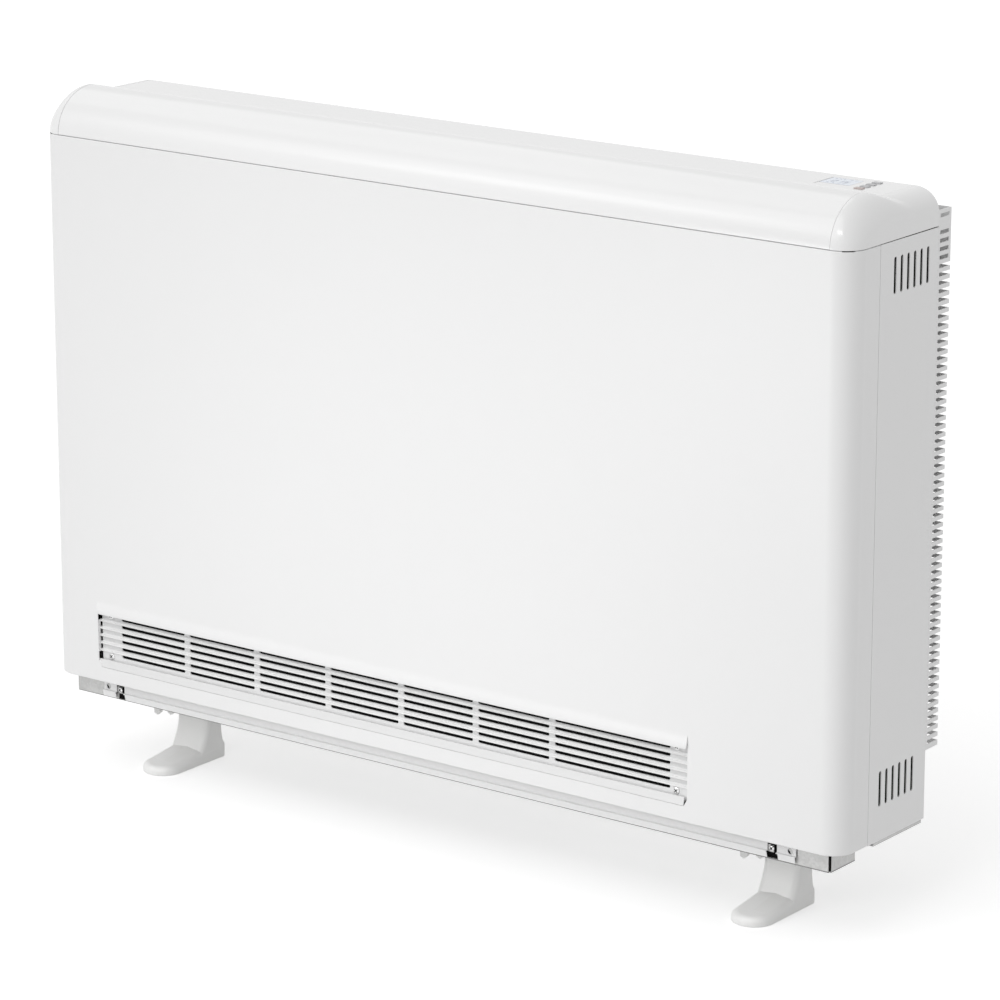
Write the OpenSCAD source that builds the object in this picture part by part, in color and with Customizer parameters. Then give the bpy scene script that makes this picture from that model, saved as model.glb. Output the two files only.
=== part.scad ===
// Fan-assisted storage heater: a brick core in an insulated box, a fan chamber under it, an electrical
// bay on the right, and a sheet-metal casing on two moulded feet.
// Millimetres. +Z is up, -Y is the front. The origin is on the floor, under the middle of the heater.
// Inside from_front(), Y is the distance behind the front face of the casing.

/* [Casing] */
// Width over the two side panels
body_w = 1000; // [980:10:1300]
// Depth of the casing, from the front face to the rear panel's outer face
body_d = 150; // [146:1:190]
// Thickness of the casing sheets
sheet_t = 1.2; // [0.8:0.1:2]
// Height of the front panel's lower edge above the floor
panel_z = 98; // [96:1:110]
// Height of the front panel and the side panels
panel_h = 586; // [580:2:700]
// Radius of the two vertical front corners
corner_r = 24; // [15:1:30]
// How far the front panel wraps round onto each side
wrap_d = 48; // [40:1:60]
// Depth of the folds along the panels' edges
fold_d = 6; // [4:0.5:6.5]
// Gap at the seams between casing pieces
seam = 0.6; // [0.4:0.1:0.9]

/* [Lid] */
// Height of the lid's front hump above the seam
hump_h = 45.4; // [40:0.2:55]
// Distance from the front face back to the top of the hump
hump_d = 52; // [40:1:60]
// Height of the lid's flat rear part above the seam
flat_h = 36.8; // [30:0.2:39]
// Depth of the flat part, from the rear face forward
flat_l = 63; // [58:1:75]
// Wall of the lid and its end caps
lid_t = 2; // [1.2:0.1:3]
// Width of each end cap
cap_w = 25; // [24:1:35]
// Height of the end cap's upright side, below its roll
cap_side_h = 15.6; // [10:0.2:20]
// How far the back of the hump drifts rearwards down the end cap's roll
cap_drift = 30; // [0:1:40]
// Radius of the lid's rear top edge
lid_rear_r = 3; // [1:0.5:6]

/* [Outlet grille] */
// Distance from the left side to the outlet opening
grille_left = 64; // [55:1:120]
// Height of the opening's lower edge above the front panel's lower edge
grille_rise = 16.5; // [14:0.5:30]
// Height of the opening cut in the front panel
grille_h = 73.5; // [73:0.5:76]
// Pitch of the slot columns
column_pitch = 94.8; // [80:0.2:98]
// Length of a slot in the regular columns
slot_l = 88; // [60:1:76]
// Length of a slot in the last column
last_slot_l = 140.5; // [100:0.5:150]
// Number of regular columns
columns = 6; // [4:1:6]
// Number of slot rows
slot_rows = 6; // [4:1:6]
// Height of the lowest slot row above the opening's lower edge
row_rise = 15; // [14.5:0.1:15.5]
// Pitch of the slot rows
row_pitch = 8.16; // [7:0.02:8.3]
// Height of one slot
slot_h = 3.2; // [2:0.1:3.8]
// Plain width of the grille at its left end
grille_margin_l = 29; // [26:0.5:40]
// Plain width of the grille at its right end
grille_margin_r = 21.8; // [20:0.2:40]
// How far the hood over the outlet stands out in front of the panel
hood_d = 5; // [3:0.5:10]
// Height of the hood, from its bend to its lower edge
hood_h = 13; // [12:0.5:15]
// Height of the sloping sill under the outlet
sill_h = 7.5; // [5:0.5:9]
// Depth of the grille behind the front face
recess_d = 5; // [4.5:0.1:5.4]
// How far each louvre rib stands out of the grille plate
rib_d = 2.6; // [1:0.1:4]
// Gap between the ends of the grille and the opening
grille_gap = 2.4; // [1:0.1:4]

/* [Side vents] */
// Number of slots in each group
vent_count = 6; // [3:1:6]
// Pitch of the slots
vent_pitch = 11.5; // [8:0.1:12]
// Width of one slot
vent_w = 3; // [2:0.1:5]
// Height of one slot
vent_h = 34.5; // [20:0.5:45]
// Distance of the upper group's first slot behind the front face
vent_upper_d = 74.5; // [66:0.5:78]
// Distance of the lower group's first slot behind the front face
vent_lower_d = 68.5; // [66:0.5:78]
// Middle of the upper group below the top edge of the side panel
vent_upper_drop = 33; // [30:1:60]
// Middle of the lower group above the lower edge of the side panel
vent_lower_rise = 52.5; // [45:0.5:80]

/* [Wall spacer] */
// Depth of the spacer behind the casing
spacer_d = 22; // [15:1:40]
// Height of the spacer's lower edge above the floor
spacer_z = 167.5; // [150:0.5:200]
// Height of the spacer's upper edge above the front panel's upper edge
spacer_rise = 16; // [4:0.5:30]
// Thickness of the spacer sheet
spacer_t = 1; // [0.8:0.1:2]
// Pitch of the slots down both edges
comb_pitch = 8.12; // [7:0.02:12]
// Height of one slot
comb_h = 4; // [2:0.1:5]
// How far the lower slots run round the corner onto the back
comb_wrap = 14; // [6:1:30]
// Number of upper slots that stay on the side
comb_side_only = 4; // [2:1:8]
// Distance between the two wall screws
wall_pitch = 600; // [400:10:800]
// Diameter of the wall screw holes
wall_hole = 7; // [5:0.5:9]

/* [Base] */
// Height of the base's front channel above the floor
base_z = 76; // [70:1:80]
// Distance of the channel behind the front face
channel_setback = 15; // [14:0.5:18]
// Depth of the channel
channel_d = 44; // [40:1:46]
// Inset of each end of the channel from the side of the casing
channel_inset = 20.4; // [18:0.2:30]
// Distance the rear part of the base hangs below the panels
base_drop = 4.5; // [3:0.5:6]
// Height of the base's turned-up edges above its floor
base_edge = 18; // [12:1:22]
// Length of the folded front rail short of each end of the channel
rail_inset = 37.6; // [36:0.2:60]
// How far the lower half of the rail stands in front of its upper half
rail_step = 2.5; // [1:0.5:4]
// Distance of the cut at each panel screw from the side of the casing
clip_inset = 86; // [80:0.5:120]
// Diameter of the panel screws
screw_d = 3.6; // [3:0.1:4.5]

/* [Feet] */
// Distance of each foot's middle from the side of the casing
foot_inset = 120.7; // [115:0.1:200]
// Width of a foot
foot_w = 44.7; // [40:0.1:60]
// Distance of the toe behind the front face
foot_toe = 14; // [5:1:20]
// Distance of the heel behind the front face
foot_heel = 113; // [105:1:130]
// Thickness of the toe
toe_t = 10; // [8:0.5:14]
// Distance of the upright's front behind the front face
upright_d = 88.5; // [80:0.5:95]
// Height of the sweep from the toe up to the upright
sweep_h = 42; // [30:1:46]
// Thickness of the fixing flange on top of the foot
foot_flange_t = 4; // [3:0.5:6]
// Length of the longer of the two hooks below the flange
hook_l = 36; // [20:1:40]

/* [Core] */
// Width of the electrical bay, from the core to the right side of the casing
bay_w = 164.4; // [156:0.2:200]
// Bricks side by side in a row
brick_cols = 3; // [2:1:3]
// Clearance between bricks and to the insulation
brick_gap = 0.4; // [0.2:0.1:0.8]
// Width of an air passage through a brick
passage_w = 14; // [8:1:20]
// Length of an air passage through a brick
passage_l = 70; // [40:1:90]
// Thickness of the front and rear insulation
ins_d = 18; // [12:0.5:18.5]
// Thickness of the insulation at the two ends
ins_end = 25; // [15:1:26]
// Thickness of the insulation on top
ins_top = 28; // [20:1:30]
// Thickness of the insulating base slab
ins_base = 30; // [20:1:32]
// Thickness of the core's steel case
case_t = 1; // [0.8:0.1:1.5]
// Distance from the left side of the casing to the core
core_left = 26; // [20:1:30]
// Distance from the front face of the casing to the core's insulation
core_front = 8; // [8:0.5:12]
// Distance from the core's case to the rear panel
core_back = 8; // [5:0.5:18]
// Distance of the core's top below the front panel's upper edge
core_drop = 15.9; // [10:0.1:60]
// Height of the fan chamber, from the base's floor to the core's underside
chamber_h = 105; // [100:1:110]
// Diameter of a heating element's tube
element_d = 8.5; // [6:0.5:10]
// Distance between the two legs of an element
element_legs = 56; // [40:1:60]

/* [Fan] */
// Length of the fan's impeller
fan_l = 420; // [300:5:450]
// Distance from the left side of the casing to the impeller
fan_left = 190; // [120:5:220]
// Diameter of the impeller
fan_d = 44; // [36:1:46]
// Distance of the fan's axis behind the front face
fan_back = 100; // [98:1:104]
// Height of the fan's axis above the base's floor
fan_lift = 52; // [48:1:54]
// Running clearance round the impeller
fan_clear = 5; // [4:0.5:6]
// Diameter of the fan's shaft
shaft_d = 6; // [4:0.5:8]
// Radial clearance of every running fit
run_fit = 0.05; // [0.03:0.01:0.1]
// Number of impeller blades
blades = 20; // [12:1:24]
// Size of the fan motor's square stack
motor_w = 46; // [36:1:50]
// Distance from the flap's axis to its free edge
flap_l = 26; // [18:1:28]
// Diameter of the flap's pins
flap_pin_d = 3; // [2:0.5:4]

/* [Controls] */
// Distance from the right side of the casing to the middle of the display
display_right = 91.5; // [88:0.5:120]
// Distance from the rear face to the middle of the display
display_rear = 32; // [26:0.5:38]
// Width of the display
display_w = 35; // [25:1:40]
// Depth of the display, front to back
display_l = 36; // [25:1:36]
// Distance from the display's middle to the column of buttons
button_offset = 32.5; // [30:0.5:36]
// Pitch of the four buttons
button_pitch = 10.6; // [9:0.1:10.8]
// Width of a button
button_w = 9; // [6:0.5:10]
// Length of a button, front to back
button_l = 6; // [4:0.5:6.5]
// How far a button stands proud of the lid
button_proud = 0.9; // [0.7:0.1:2]
// Travel of a button
button_travel = 0.6; // [0.3:0.1:0.6]
// Gap round a button and round the display
control_gap = 0.3; // [0.2:0.05:0.5]

/* [Electrical bay] */
// Height of the thermal cut-out above the core's underside
cutout_rise = 360; // [330:5:400]
// Diameter of the thermal cut-out
cutout_d = 18; // [14:1:24]
// Diameter of the reset button in the thermal cut-out
reset_d = 5; // [4:0.5:7]
// Travel of the reset button
reset_travel = 1.2; // [0.5:0.1:1.4]
// Diameter of the hole for the supply cable
cable_hole = 9; // [7:0.5:10]
// Distance of the cable gland from the right side of the casing
gland_right = 30; // [28:1:40]
// Distance of the cable gland from the rear face
gland_rear = 25; // [24:1:32]

/* [Hidden] */
$fn = 48;
tiny = 0.01;
overlap = 1;
screw_gap = 0.2;
head_ratio = 1.9;
brick_rows = 6;

// Casing
total_d = hood_d + body_d + spacer_d;
front_y = hood_d - total_d / 2;
half_w = body_w / 2;
panel_top = panel_z + panel_h;
lid_z = panel_top + seam;
inner_x = half_w - sheet_t;
rear_in = body_d - sheet_t;
cap_x = half_w - cap_w;
flat_d = body_d - flat_l;
spacer_top = panel_top + spacer_rise;
spacer_back = body_d + spacer_d;
spacer_lip = 12;
spacer_screw_d = 3;
spacer_screw_inset = 7;
spacer_screw_margin = 30;
comb_first = 5.5;
comb_margin = 2.5;
comb_skip = 1;
fixing_drop = 20;

// Lid outline: steps along the hump's front, along its back and round the end cap
hump_steps = 14;
back_steps = 8;
cap_steps = 9;
rear_steps = 3;

// Outlet
grille_x0 = -half_w + grille_left;
grille_w = grille_margin_l + columns * column_pitch + last_slot_l + grille_margin_r;
grille_x1 = grille_x0 + grille_w;
grille_z0 = panel_z + grille_rise;
grille_z1 = grille_z0 + grille_h;
row_z0 = grille_z0 + row_rise;
slot_x0 = grille_x0 + grille_margin_l;
row_z1 = row_z0 + (slot_rows - 1) * row_pitch;
grille_top_gap = 6;
sill_edge = 2;
rib_base = 4.4;
rib_edge = 1.4;
grille_screw_d = 3;
grille_screw_margin = [15, 13];
grille_screws_x = [grille_x0 + grille_screw_margin[0], grille_x1 - grille_screw_margin[1]];
grille_screws_z = [row_z0 - slot_h / 2, row_z1 + slot_h / 2];
grille_screw_head = 1.6;
grille_screw_l = 6;
plate_back = recess_d + sheet_t;

// Base
base_floor = panel_z - base_drop;
floor_top = base_floor + sheet_t;
edge_top = base_floor + base_edge;
channel_x = half_w - channel_inset;
channel_back = channel_setback + channel_d;
lip_x = inner_x - seam;
lip_y = rear_in - seam;
wing_gap = 3;
wing_y = channel_back + wing_gap;
rail_x = channel_x - rail_inset;
rail_band_h = 8.8;
rail_top_drop = 6;
clip_x = half_w - clip_inset;
clip_w = 11.1;
clip_left = 7.8;
clip_slot_w = 4.8;
clip_slot_h = 16;
clip_foot_h = 7.5;
clip_screw_x = -3.2;
clip_screw_rise = 11.5;
clip_screw_z = base_z + clip_screw_rise;
panel_screw_head = 2.2;
panel_screw_l = 9;
rail_hole_margin = 7;
rail_hole_d = 4.4;
rail_hole_rise = 13;
intake_w = 3;
intake_l = 40;
intake_pitch = 9;

// Feet
foot_top = base_floor;
foot_flange_z = foot_top - foot_flange_t;
foot_x = half_w - foot_inset;
foot_flange_gap = 1;
foot_flange_l = 70;
foot_flange_y = [channel_back + foot_flange_gap, channel_back + foot_flange_gap + foot_flange_l];
foot_wing = 33;
foot_screw_margin = [12, 8];
foot_screws_y = [foot_flange_y[0] + foot_screw_margin[0], foot_flange_y[1] - foot_screw_margin[1]];
foot_screw_d = 3.5;
foot_screw_head = 2.4;
foot_screw_tip = 2;
thread_gap = 0.05;
toe_run = 26;
toe_r = 3;
heel_r = 6;
heel_lean = 6.5;
upright_back = foot_heel - heel_lean;
sweep_power = 2.7;
sweep_steps = 10;
hook_t = 4;
hook_w = 9;
hooks_x = [-foot_wing, -14];
hook_step = 3;
hook_slant = 4;

// Core
core_x0 = -half_w + core_left;
core_x1 = half_w - bay_w;
inner_x0 = core_x0 + case_t;
inner_x1 = core_x1 - case_t;
stack_x0 = inner_x0 + ins_end + brick_gap;
stack_x1 = inner_x1 - ins_end - brick_gap;
brick_l = (stack_x1 - stack_x0 - (brick_cols - 1) * brick_gap) / brick_cols;
core_y1 = rear_in - core_back;
inner_y1 = core_y1 - case_t;
stack_y0 = core_front + ins_d + brick_gap;
stack_y1 = inner_y1 - ins_d - brick_gap;
stack_mid = (stack_y0 + stack_y1) / 2;
core_z0 = floor_top + chamber_h;
core_z1 = panel_top - core_drop;
inner_z0 = core_z0 + case_t;
inner_z1 = core_z1 - case_t;
stack_z0 = inner_z0 + ins_base;
stack_z1 = inner_z1 - ins_top - brick_gap;
brick_h = (stack_z1 - stack_z0) / brick_rows;
passages_x = [for (i = [0:brick_cols - 1]) for (s = [-1, 1])
    stack_x0 + i * (brick_l + brick_gap) + brick_l / 2 + s * brick_l / 4];
groove_d = element_d + 1;
element_z = [for (i = [0:2]) stack_z0 + (2 * i + 1) * brick_h];
bend_margin = 14;
bend_x = stack_x0 + element_legs / 2 + bend_margin;
terminal_l = 12;
terminal_pin_l = 9;
stand_w = [25, 8];
stand_gap = 4;
stand_l = 58;
stand_y = [channel_back + stand_gap, channel_back + stand_gap + stand_l];

// Duct, fan and flap
fan_x0 = -half_w + fan_left;
fan_x1 = fan_x0 + fan_l;
fan_r = fan_d / 2;
fan_z = floor_top + fan_lift;
scroll_r = fan_r + fan_clear;
scroll_t = 1.2;
plate_t = 1.6;
plate_gap = 8.4;
plate_margin = 4;
plate_x = [fan_x0 - plate_gap - plate_t, fan_x1 + plate_gap];
shaft_r = shaft_d / 2;
bush_wall = 3;
bush_r = shaft_r + bush_wall;
bush_flange_t = 3;
bush_proud = 2;
disc_t = 1.4;
blade_t = 0.9;
blade_r = 0.42 * fan_r;
blade_angles = [100, 132];
blade_place = [fan_r - 2.4, -0.38 * fan_r];
blade_tilt = -10;
blade_steps = 4;
duct_gap = 7;
duct_y0 = plate_back + control_gap;
duct_y1 = fan_back - scroll_r - duct_gap;
duct_x0 = grille_x0 + 2 * grille_gap;
duct_x1 = grille_x1 - 2 * grille_gap;
duct_z0 = grille_z0 + sill_h - sill_edge;
duct_top_gap = 4;
duct_z1 = grille_z1 - duct_top_gap;
duct_flange = 4;
duct_leg_w = 20;
duct_leg_margin = [20, 40];
motor_l = 22;
motor_x = plate_x[1] + plate_t;
coil_w = 26;
coil_h = 14;
coil_proud = 6;
flap_drop = 7;
flap_margin = 5;
flap_z = core_z0 - flap_drop;
flap_x = [fan_x0 + flap_margin, fan_x1 - flap_margin];
flap_t = 1;
flap_ear_t = 2;
flap_ear_r = 6;
flap_ear_gap = 0.3;
actuator_w = 22;
actuator_l = 14;
actuator_margin = 38;
plunger_r = 3;

// Controls
display_x = half_w - display_right;
display_d = body_d - display_rear;
buttons_x = display_x + button_offset;
lid_top = lid_z + flat_h;
lid_under = lid_top - lid_t;
button_flange = 1;
housing_t = 1.6;
housing_margin = 3;
housing_h = 17;
housing_x0 = display_x - display_w / 2 - 2 * housing_margin;
housing_x1 = buttons_x + button_w / 2 + 2 * housing_margin;
housing_y0 = display_d - display_l / 2 - housing_margin - housing_t;
housing_y1 = display_d + display_l / 2 + housing_margin + housing_t;
housing_z = lid_under - housing_h;
housing_post_r = 3;
housing_post_h = 5;
housing_post_inset = 4;
wire_slot = [8, 6];
wire_slot_inset = [10, 8];
wire_slot_x = housing_x1 - wire_slot_inset[0] - wire_slot[0] / 2;
wire_slot_y = housing_y0 + wire_slot_inset[1] + wire_slot[1] / 2;
board_t = 1.6;
board_z = housing_z + housing_t + housing_post_h;
board_top = board_z + board_t;
switch_w = 6;
switch_h = 1.5;
plunger_h = 0.8;
switch_plunger_r = 1.7;
socket_w = 16;
socket_l = 6;
socket_h = 2.5;
stem_r = 1.5;
press_gap = 0.1;
stem_z = board_top + switch_h + plunger_h + button_travel + press_gap;

// Electrical bay
cutout_z = core_z0 + cutout_rise;
cutout_l = 10;
cutout_bore_l = 7;
cutout_ear = [8, 12, 1.5];
reset_gap = 0.2;
reset_proud = 3;
sensor_z = element_z[1] + brick_h / 2;
sensor_r = 3;
sensor_gap = 0.3;
nut_margin = 4;
nut_h = 5;
room_sensor_margin = [30, 16];
room_sensor_x = rail_x - room_sensor_margin[0];
room_sensor_y = channel_back - room_sensor_margin[1];
room_sensor = [14, 10, 6];
bead_r = 2.4;
bracket_gap = 28;
bracket_half = 42;
bracket_y = [stack_mid - bracket_half, stack_mid + bracket_half];
bracket_margin = [19, 9];
bracket_z = [element_z[0] + bracket_margin[0], element_z[1] - bracket_margin[1]];
relays = 3;
relay_margin = [16, 2];
relay_gap = 6;
relay_pitch = (bracket_z[1] - bracket_z[0] - relay_margin[0] - relay_margin[1]) / relays;
relay_h = relay_pitch - relay_gap;
relay_z = [for (i = [0:relays - 1]) bracket_z[0] + relay_margin[0] + relay_pitch * i];
relay_y = [14, 32];
relay_t = 15;
fuse_l = 9;
choke_y = [-16, 8];
choke_h = 36;
choke_margin = 22;
choke_z = [bracket_z[1] - choke_margin - choke_h, bracket_z[1] - choke_margin];
choke_t = 20;
plug_y = [-14, 8];
plug_h = 12;
plug_margin = 5;
plug_z = [bracket_z[0] + plug_margin, bracket_z[0] + plug_margin + plug_h];
plug_t = 12;
standoff_l = 6;
standoff_r = 2.5;
standoff_inset = [6, 8];
power_x = core_x1 + bracket_gap + sheet_t + standoff_l;
power_top = power_x + board_t;
gland_x = half_w - gland_right;
gland_y = body_d - gland_rear;
gland_wall = 3.5;
gland_r = cable_hole / 2 + gland_wall;
gland_l = 22;
gland_drop = 8;
gland_nut_h = 5;
gland_nut_margin = 3;
block_w = 56;
block_l = 24;
block_h = 20;
block_step = [5, 6];
block_right = 100;
block_x = half_w - block_right;
block_y = 80;
poles = 5;
pole_margin = 7;
poles_x = [for (i = [0:poles - 1]) block_x + pole_margin + i * (block_w - 2 * pole_margin) / (poles - 1)];
pole_y = block_y + block_l / 2;
pole_r = 2.2;
entry_r = 2;
wire_r = 1.6;
wire_sides = 8;
wire_bevel = 4;

// ---------- shared shapes ----------

module from_front() {
    translate([0, front_y, 0]) children();
}

// Pushes a (Y, Z) outline along X
module along_x(x0, length) {
    translate([x0, 0, 0]) rotate([90, 0, 90]) linear_extrude(length) children();
}

// A box from one corner to the opposite one
module box(low, high) {
    translate(low) cube(high - low);
}

// A round bar along X, Y or Z, starting at a point
module bar_x(p, r, length) {
    translate(p) rotate([0, 90, 0]) cylinder(r = r, h = length);
}

module bar_y(p, r, length) {
    translate(p) rotate([-90, 0, 0]) cylinder(r = r, h = length);
}

module bar_z(p, r, length) {
    translate(p) cylinder(r = r, h = length);
}

// A pan-head screw along Y: the head stands in front of the start, the shank runs in behind it
module screw(d, head_h, shank_l) {
    difference() {
        bar_y([0, -head_h, 0], head_ratio * d / 2, head_h);
        bar_y([0, -head_h - overlap, 0], d / 4, head_h / 2 + overlap);
    }
    bar_y([0, -tiny, 0], d / 2, shank_l + tiny);
}

module both_sides() {
    children();
    mirror([1, 0, 0]) children();
}

// Plan of a panel with two rounded front corners
module front_plan(width, depth, r) {
    translate([-width / 2, r]) square([width, depth - r]);
    translate([-width / 2 + r, 0]) square([width - 2 * r, depth]);
    for (s = [-1, 1])
        translate([s * (width / 2 - r), r]) circle(r);
}

// A slot with round ends, standing on end
module upright_slot(width, height) {
    square([width, height - width], center = true);
    for (s = [-1, 1])
        translate([0, s * (height - width) / 2]) circle(width / 2);
}

// A slot with round ends, lying down, from its left end
module lying_slot(length, height) {
    translate([height / 2, -height / 2]) square([length - height, height]);
    for (x = [height / 2, length - height / 2])
        translate([x, 0]) circle(height / 2);
}

// Outline of the lid in (Y, Z), at an angle round the end cap, drawn in by a wall
function lid_outline(angle, inset) =
    let (c = cos(angle), s = sin(angle),
        y0 = corner_r * (1 - c) + inset,
        peak = cap_side_h + (hump_h - cap_side_h) * c - inset,
        level = cap_side_h + (flat_h - cap_side_h) * c - inset,
        y_peak = hump_d + cap_drift * s * s,
        y_flat = flat_d + cap_drift * s * s,
        y1 = body_d - inset)
    concat(
        [for (i = [0:hump_steps]) let (a = 90 * i / hump_steps)
            [y_peak - (y_peak - y0) * cos(a), peak * sin(a)]],
        [for (i = [1:back_steps]) let (u = i / back_steps)
            [y_peak + (y_flat - y_peak) * u, level + (peak - level) * (1 + cos(180 * u)) / 2]],
        [for (i = [0:rear_steps]) let (a = 90 * i / rear_steps)
            [y1 - lid_rear_r * (1 - sin(a)), level - lid_rear_r * (1 - cos(a))]],
        [[y1, 0]]);

// A solid through equal outlines that stand at given places along X
module loft(places, outlines) {
    n = len(outlines[0]);
    m = len(outlines);
    corners = [for (i = [0:m - 1]) for (p = outlines[i]) [places[i], p[0], p[1]]];
    skin = [for (i = [0:m - 2]) for (j = [0:n - 1])
        let (a = i * n + j, b = i * n + (j + 1) % n)
        each [[a, b + n, a + n], [a, b, b + n]]];
    ends = [[for (j = [n - 1:-1:0]) j], [for (j = [0:n - 1]) (m - 1) * n + j]];
    polyhedron(corners, concat(skin, ends));
}

function unit(v) = v / norm(v);

// Places on a route where each corner is cut back to a short bevel
function eased(route, cut) = concat(
    [route[0]],
    [for (i = [1:len(route) - 2]) each [
        route[i] + unit(route[i - 1] - route[i]) * cut,
        route[i] + unit(route[i + 1] - route[i]) * cut]],
    [route[len(route) - 1]]);

function heading(path, i) = let (last = len(path) - 1)
    unit((i == last ? [0, 0, 0] : unit(path[i + 1] - path[i]))
        + (i == 0 ? [0, 0, 0] : unit(path[i] - path[i - 1])));

// A wire along a route
module wire(route, r) {
    path = eased(route, wire_bevel * r);
    // Any direction that no stretch of a wire follows
    sideways = unit([4, 6, 7]);
    rings = [for (i = [0:len(path) - 1])
        let (t = heading(path, i), u = unit(cross(t, sideways)), w = cross(t, u))
        [for (k = [0:wire_sides - 1]) let (a = 360 * k / wire_sides)
            path[i] + r * (cos(a) * u + sin(a) * w)]];
    n = wire_sides;
    m = len(rings);
    skin = [for (i = [0:m - 2]) for (j = [0:n - 1])
        let (a = i * n + j, b = i * n + (j + 1) % n)
        each [[a, a + n, b + n], [a, b + n, b]]];
    ends = [[for (j = [0:n - 1]) j], [for (j = [n - 1:-1:0]) (m - 1) * n + j]];
    polyhedron([for (ring = rings) each ring], concat(skin, ends));
}

// ---------- casing ----------

module front_panel() {
    color("white") from_front() difference() {
        union() {
            translate([0, 0, panel_z]) linear_extrude(panel_h) difference() {
                front_plan(body_w, wrap_d, corner_r);
                translate([0, sheet_t]) front_plan(2 * inner_x, wrap_d, corner_r - sheet_t);
            }
            for (z = [panel_z, panel_top - sheet_t])
                translate([0, 0, z]) linear_extrude(sheet_t) difference() {
                    front_plan(body_w, wrap_d, corner_r);
                    translate([0, fold_d])
                        front_plan(body_w - 2 * fold_d, wrap_d, corner_r - fold_d);
                }
            outlet_surround();
        }
        box([grille_x0, -tiny, grille_z0 + sheet_t], [grille_x1, sheet_t + tiny, grille_z1 - sheet_t]);
    }
}

// Hood above the outlet and sloping sill below it, folded from the front panel
module outlet_surround() {
    slope = hood_h / (2 * hood_d);
    drop = sheet_t * (sqrt(1 + slope * slope) - slope);
    bend_z = grille_z1 - hood_h / 2;
    sill_y = recess_d - control_gap;
    along_x(grille_x0, grille_w) polygon([
        [0, grille_z1], [-hood_d, bend_z], [-hood_d, grille_z1 - hood_h],
        [sheet_t - hood_d, grille_z1 - hood_h], [sheet_t - hood_d, bend_z - drop],
        [sheet_t, grille_z1 - sheet_t], [sheet_t, grille_z1]]);
    along_x(grille_x0, grille_w) polygon([
        [0, grille_z0], [sill_y, grille_z0 + sill_h], [sill_y, grille_z0 + sill_h - sill_edge],
        [sheet_t, grille_z0]]);
}

module side_panel() {
    y0 = wrap_d + seam;
    difference() {
        union() {
            box([inner_x, y0, panel_z], [half_w, body_d, panel_top]);
            for (y = [y0, rear_in - sheet_t - tiny])
                box([inner_x - fold_d, y, edge_top + overlap], [half_w, y + sheet_t, panel_top]);
        }
        side_vents(vent_lower_d, panel_z + vent_lower_rise);
        side_vents(vent_upper_d, panel_top - vent_upper_drop);
    }
}

module side_vents(y0, z) {
    for (i = [0:vent_count - 1])
        along_x(inner_x - overlap, sheet_t + 2 * overlap)
            translate([y0 + i * vent_pitch, z]) upright_slot(vent_w, vent_h);
}

module right_side_panel() {
    color("gainsboro") from_front() side_panel();
}

module left_side_panel() {
    color("gainsboro") from_front() mirror([1, 0, 0]) side_panel();
}

module top_lid() {
    outer = lid_outline(0, 0);
    inner = lid_outline(0, lid_t);
    color("white") from_front() difference() {
        translate([0, 0, lid_z]) along_x(-cap_x, 2 * cap_x)
            polygon(concat(outer, [for (i = [len(inner) - 1:-1:0]) inner[i]]));
        box([display_x - display_w / 2, display_d - display_l / 2, lid_under - overlap],
            [display_x + display_w / 2, display_d + display_l / 2, lid_top + overlap]);
        for (i = [0:3]) {
            w = button_w / 2 + control_gap;
            l = button_l / 2 + control_gap;
            box([buttons_x - w, button_y(i) - l, lid_under - overlap],
                [buttons_x + w, button_y(i) + l, lid_top + overlap]);
        }
    }
}

module end_cap() {
    angles = [for (i = [0:cap_steps]) 90 * i / cap_steps];
    color("white") from_front() translate([0, 0, lid_z]) difference() {
        loft([for (a = angles) cap_x + cap_w * sin(a)], [for (a = angles) lid_outline(a, 0)]);
        translate([-tiny, 0, -tiny])
            loft([for (a = angles) cap_x + (cap_w - lid_t) * sin(a)],
                [for (a = angles) lid_outline(a, lid_t)]);
    }
}

module right_end_cap() {
    end_cap();
}

module left_end_cap() {
    mirror([1, 0, 0]) end_cap();
}

module rear_panel() {
    color("silver") from_front()
        box([-inner_x + control_gap, rear_in, panel_z], [inner_x - control_gap, body_d, panel_top]);
}

module wall_spacer() {
    fixing_z = spacer_top - fixing_drop;
    slots = floor((spacer_top - spacer_z - 2 * comb_first) / comb_pitch);
    color("white") from_front() difference() {
        union() {
            box([-half_w, spacer_back - spacer_t, spacer_z], [half_w, spacer_back, spacer_top]);
            both_sides() {
                box([half_w - spacer_t, body_d, spacer_z], [half_w, spacer_back, spacer_top]);
                box([half_w - spacer_lip, body_d, spacer_z], [half_w, body_d + spacer_t, spacer_top]);
            }
        }
        for (i = [0:slots])
            if (i != comb_skip)
                both_sides() spacer_slot(spacer_top - comb_first - i * comb_pitch,
                    i <= comb_side_only + comb_skip);
        for (x = [-wall_pitch / 2, wall_pitch / 2])
            bar_y([x, spacer_back - spacer_t - overlap, fixing_z], wall_hole / 2, spacer_t + 2 * overlap);
        spacer_screw_places() bar_y([0, -overlap, 0], spacer_screw_d / 2 + screw_gap, spacer_t + 2 * overlap);
    }
}

// One slot in the spacer's edge, on the side alone or round the corner onto the back
module spacer_slot(z, side_only) {
    reach = side_only ? 2 * spacer_t : comb_wrap;
    back = side_only ? spacer_back - comb_margin - spacer_t : spacer_back + overlap;
    box([half_w - reach, body_d + comb_margin, z - comb_h / 2], [half_w + overlap, back, z + comb_h / 2]);
}

module spacer_screw_places() {
    for (x = [-1, 1]) for (z = [spacer_z + spacer_screw_margin, panel_top - spacer_screw_margin])
        translate([x * (half_w - spacer_screw_inset), body_d, z]) children();
}

module spacer_screws() {
    color("gray") from_front() spacer_screw_places()
        translate([0, spacer_t, 0]) mirror([0, 1, 0]) screw(spacer_screw_d, spacer_screw_d / 2, spacer_t);
}

// ---------- base and feet ----------

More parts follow.
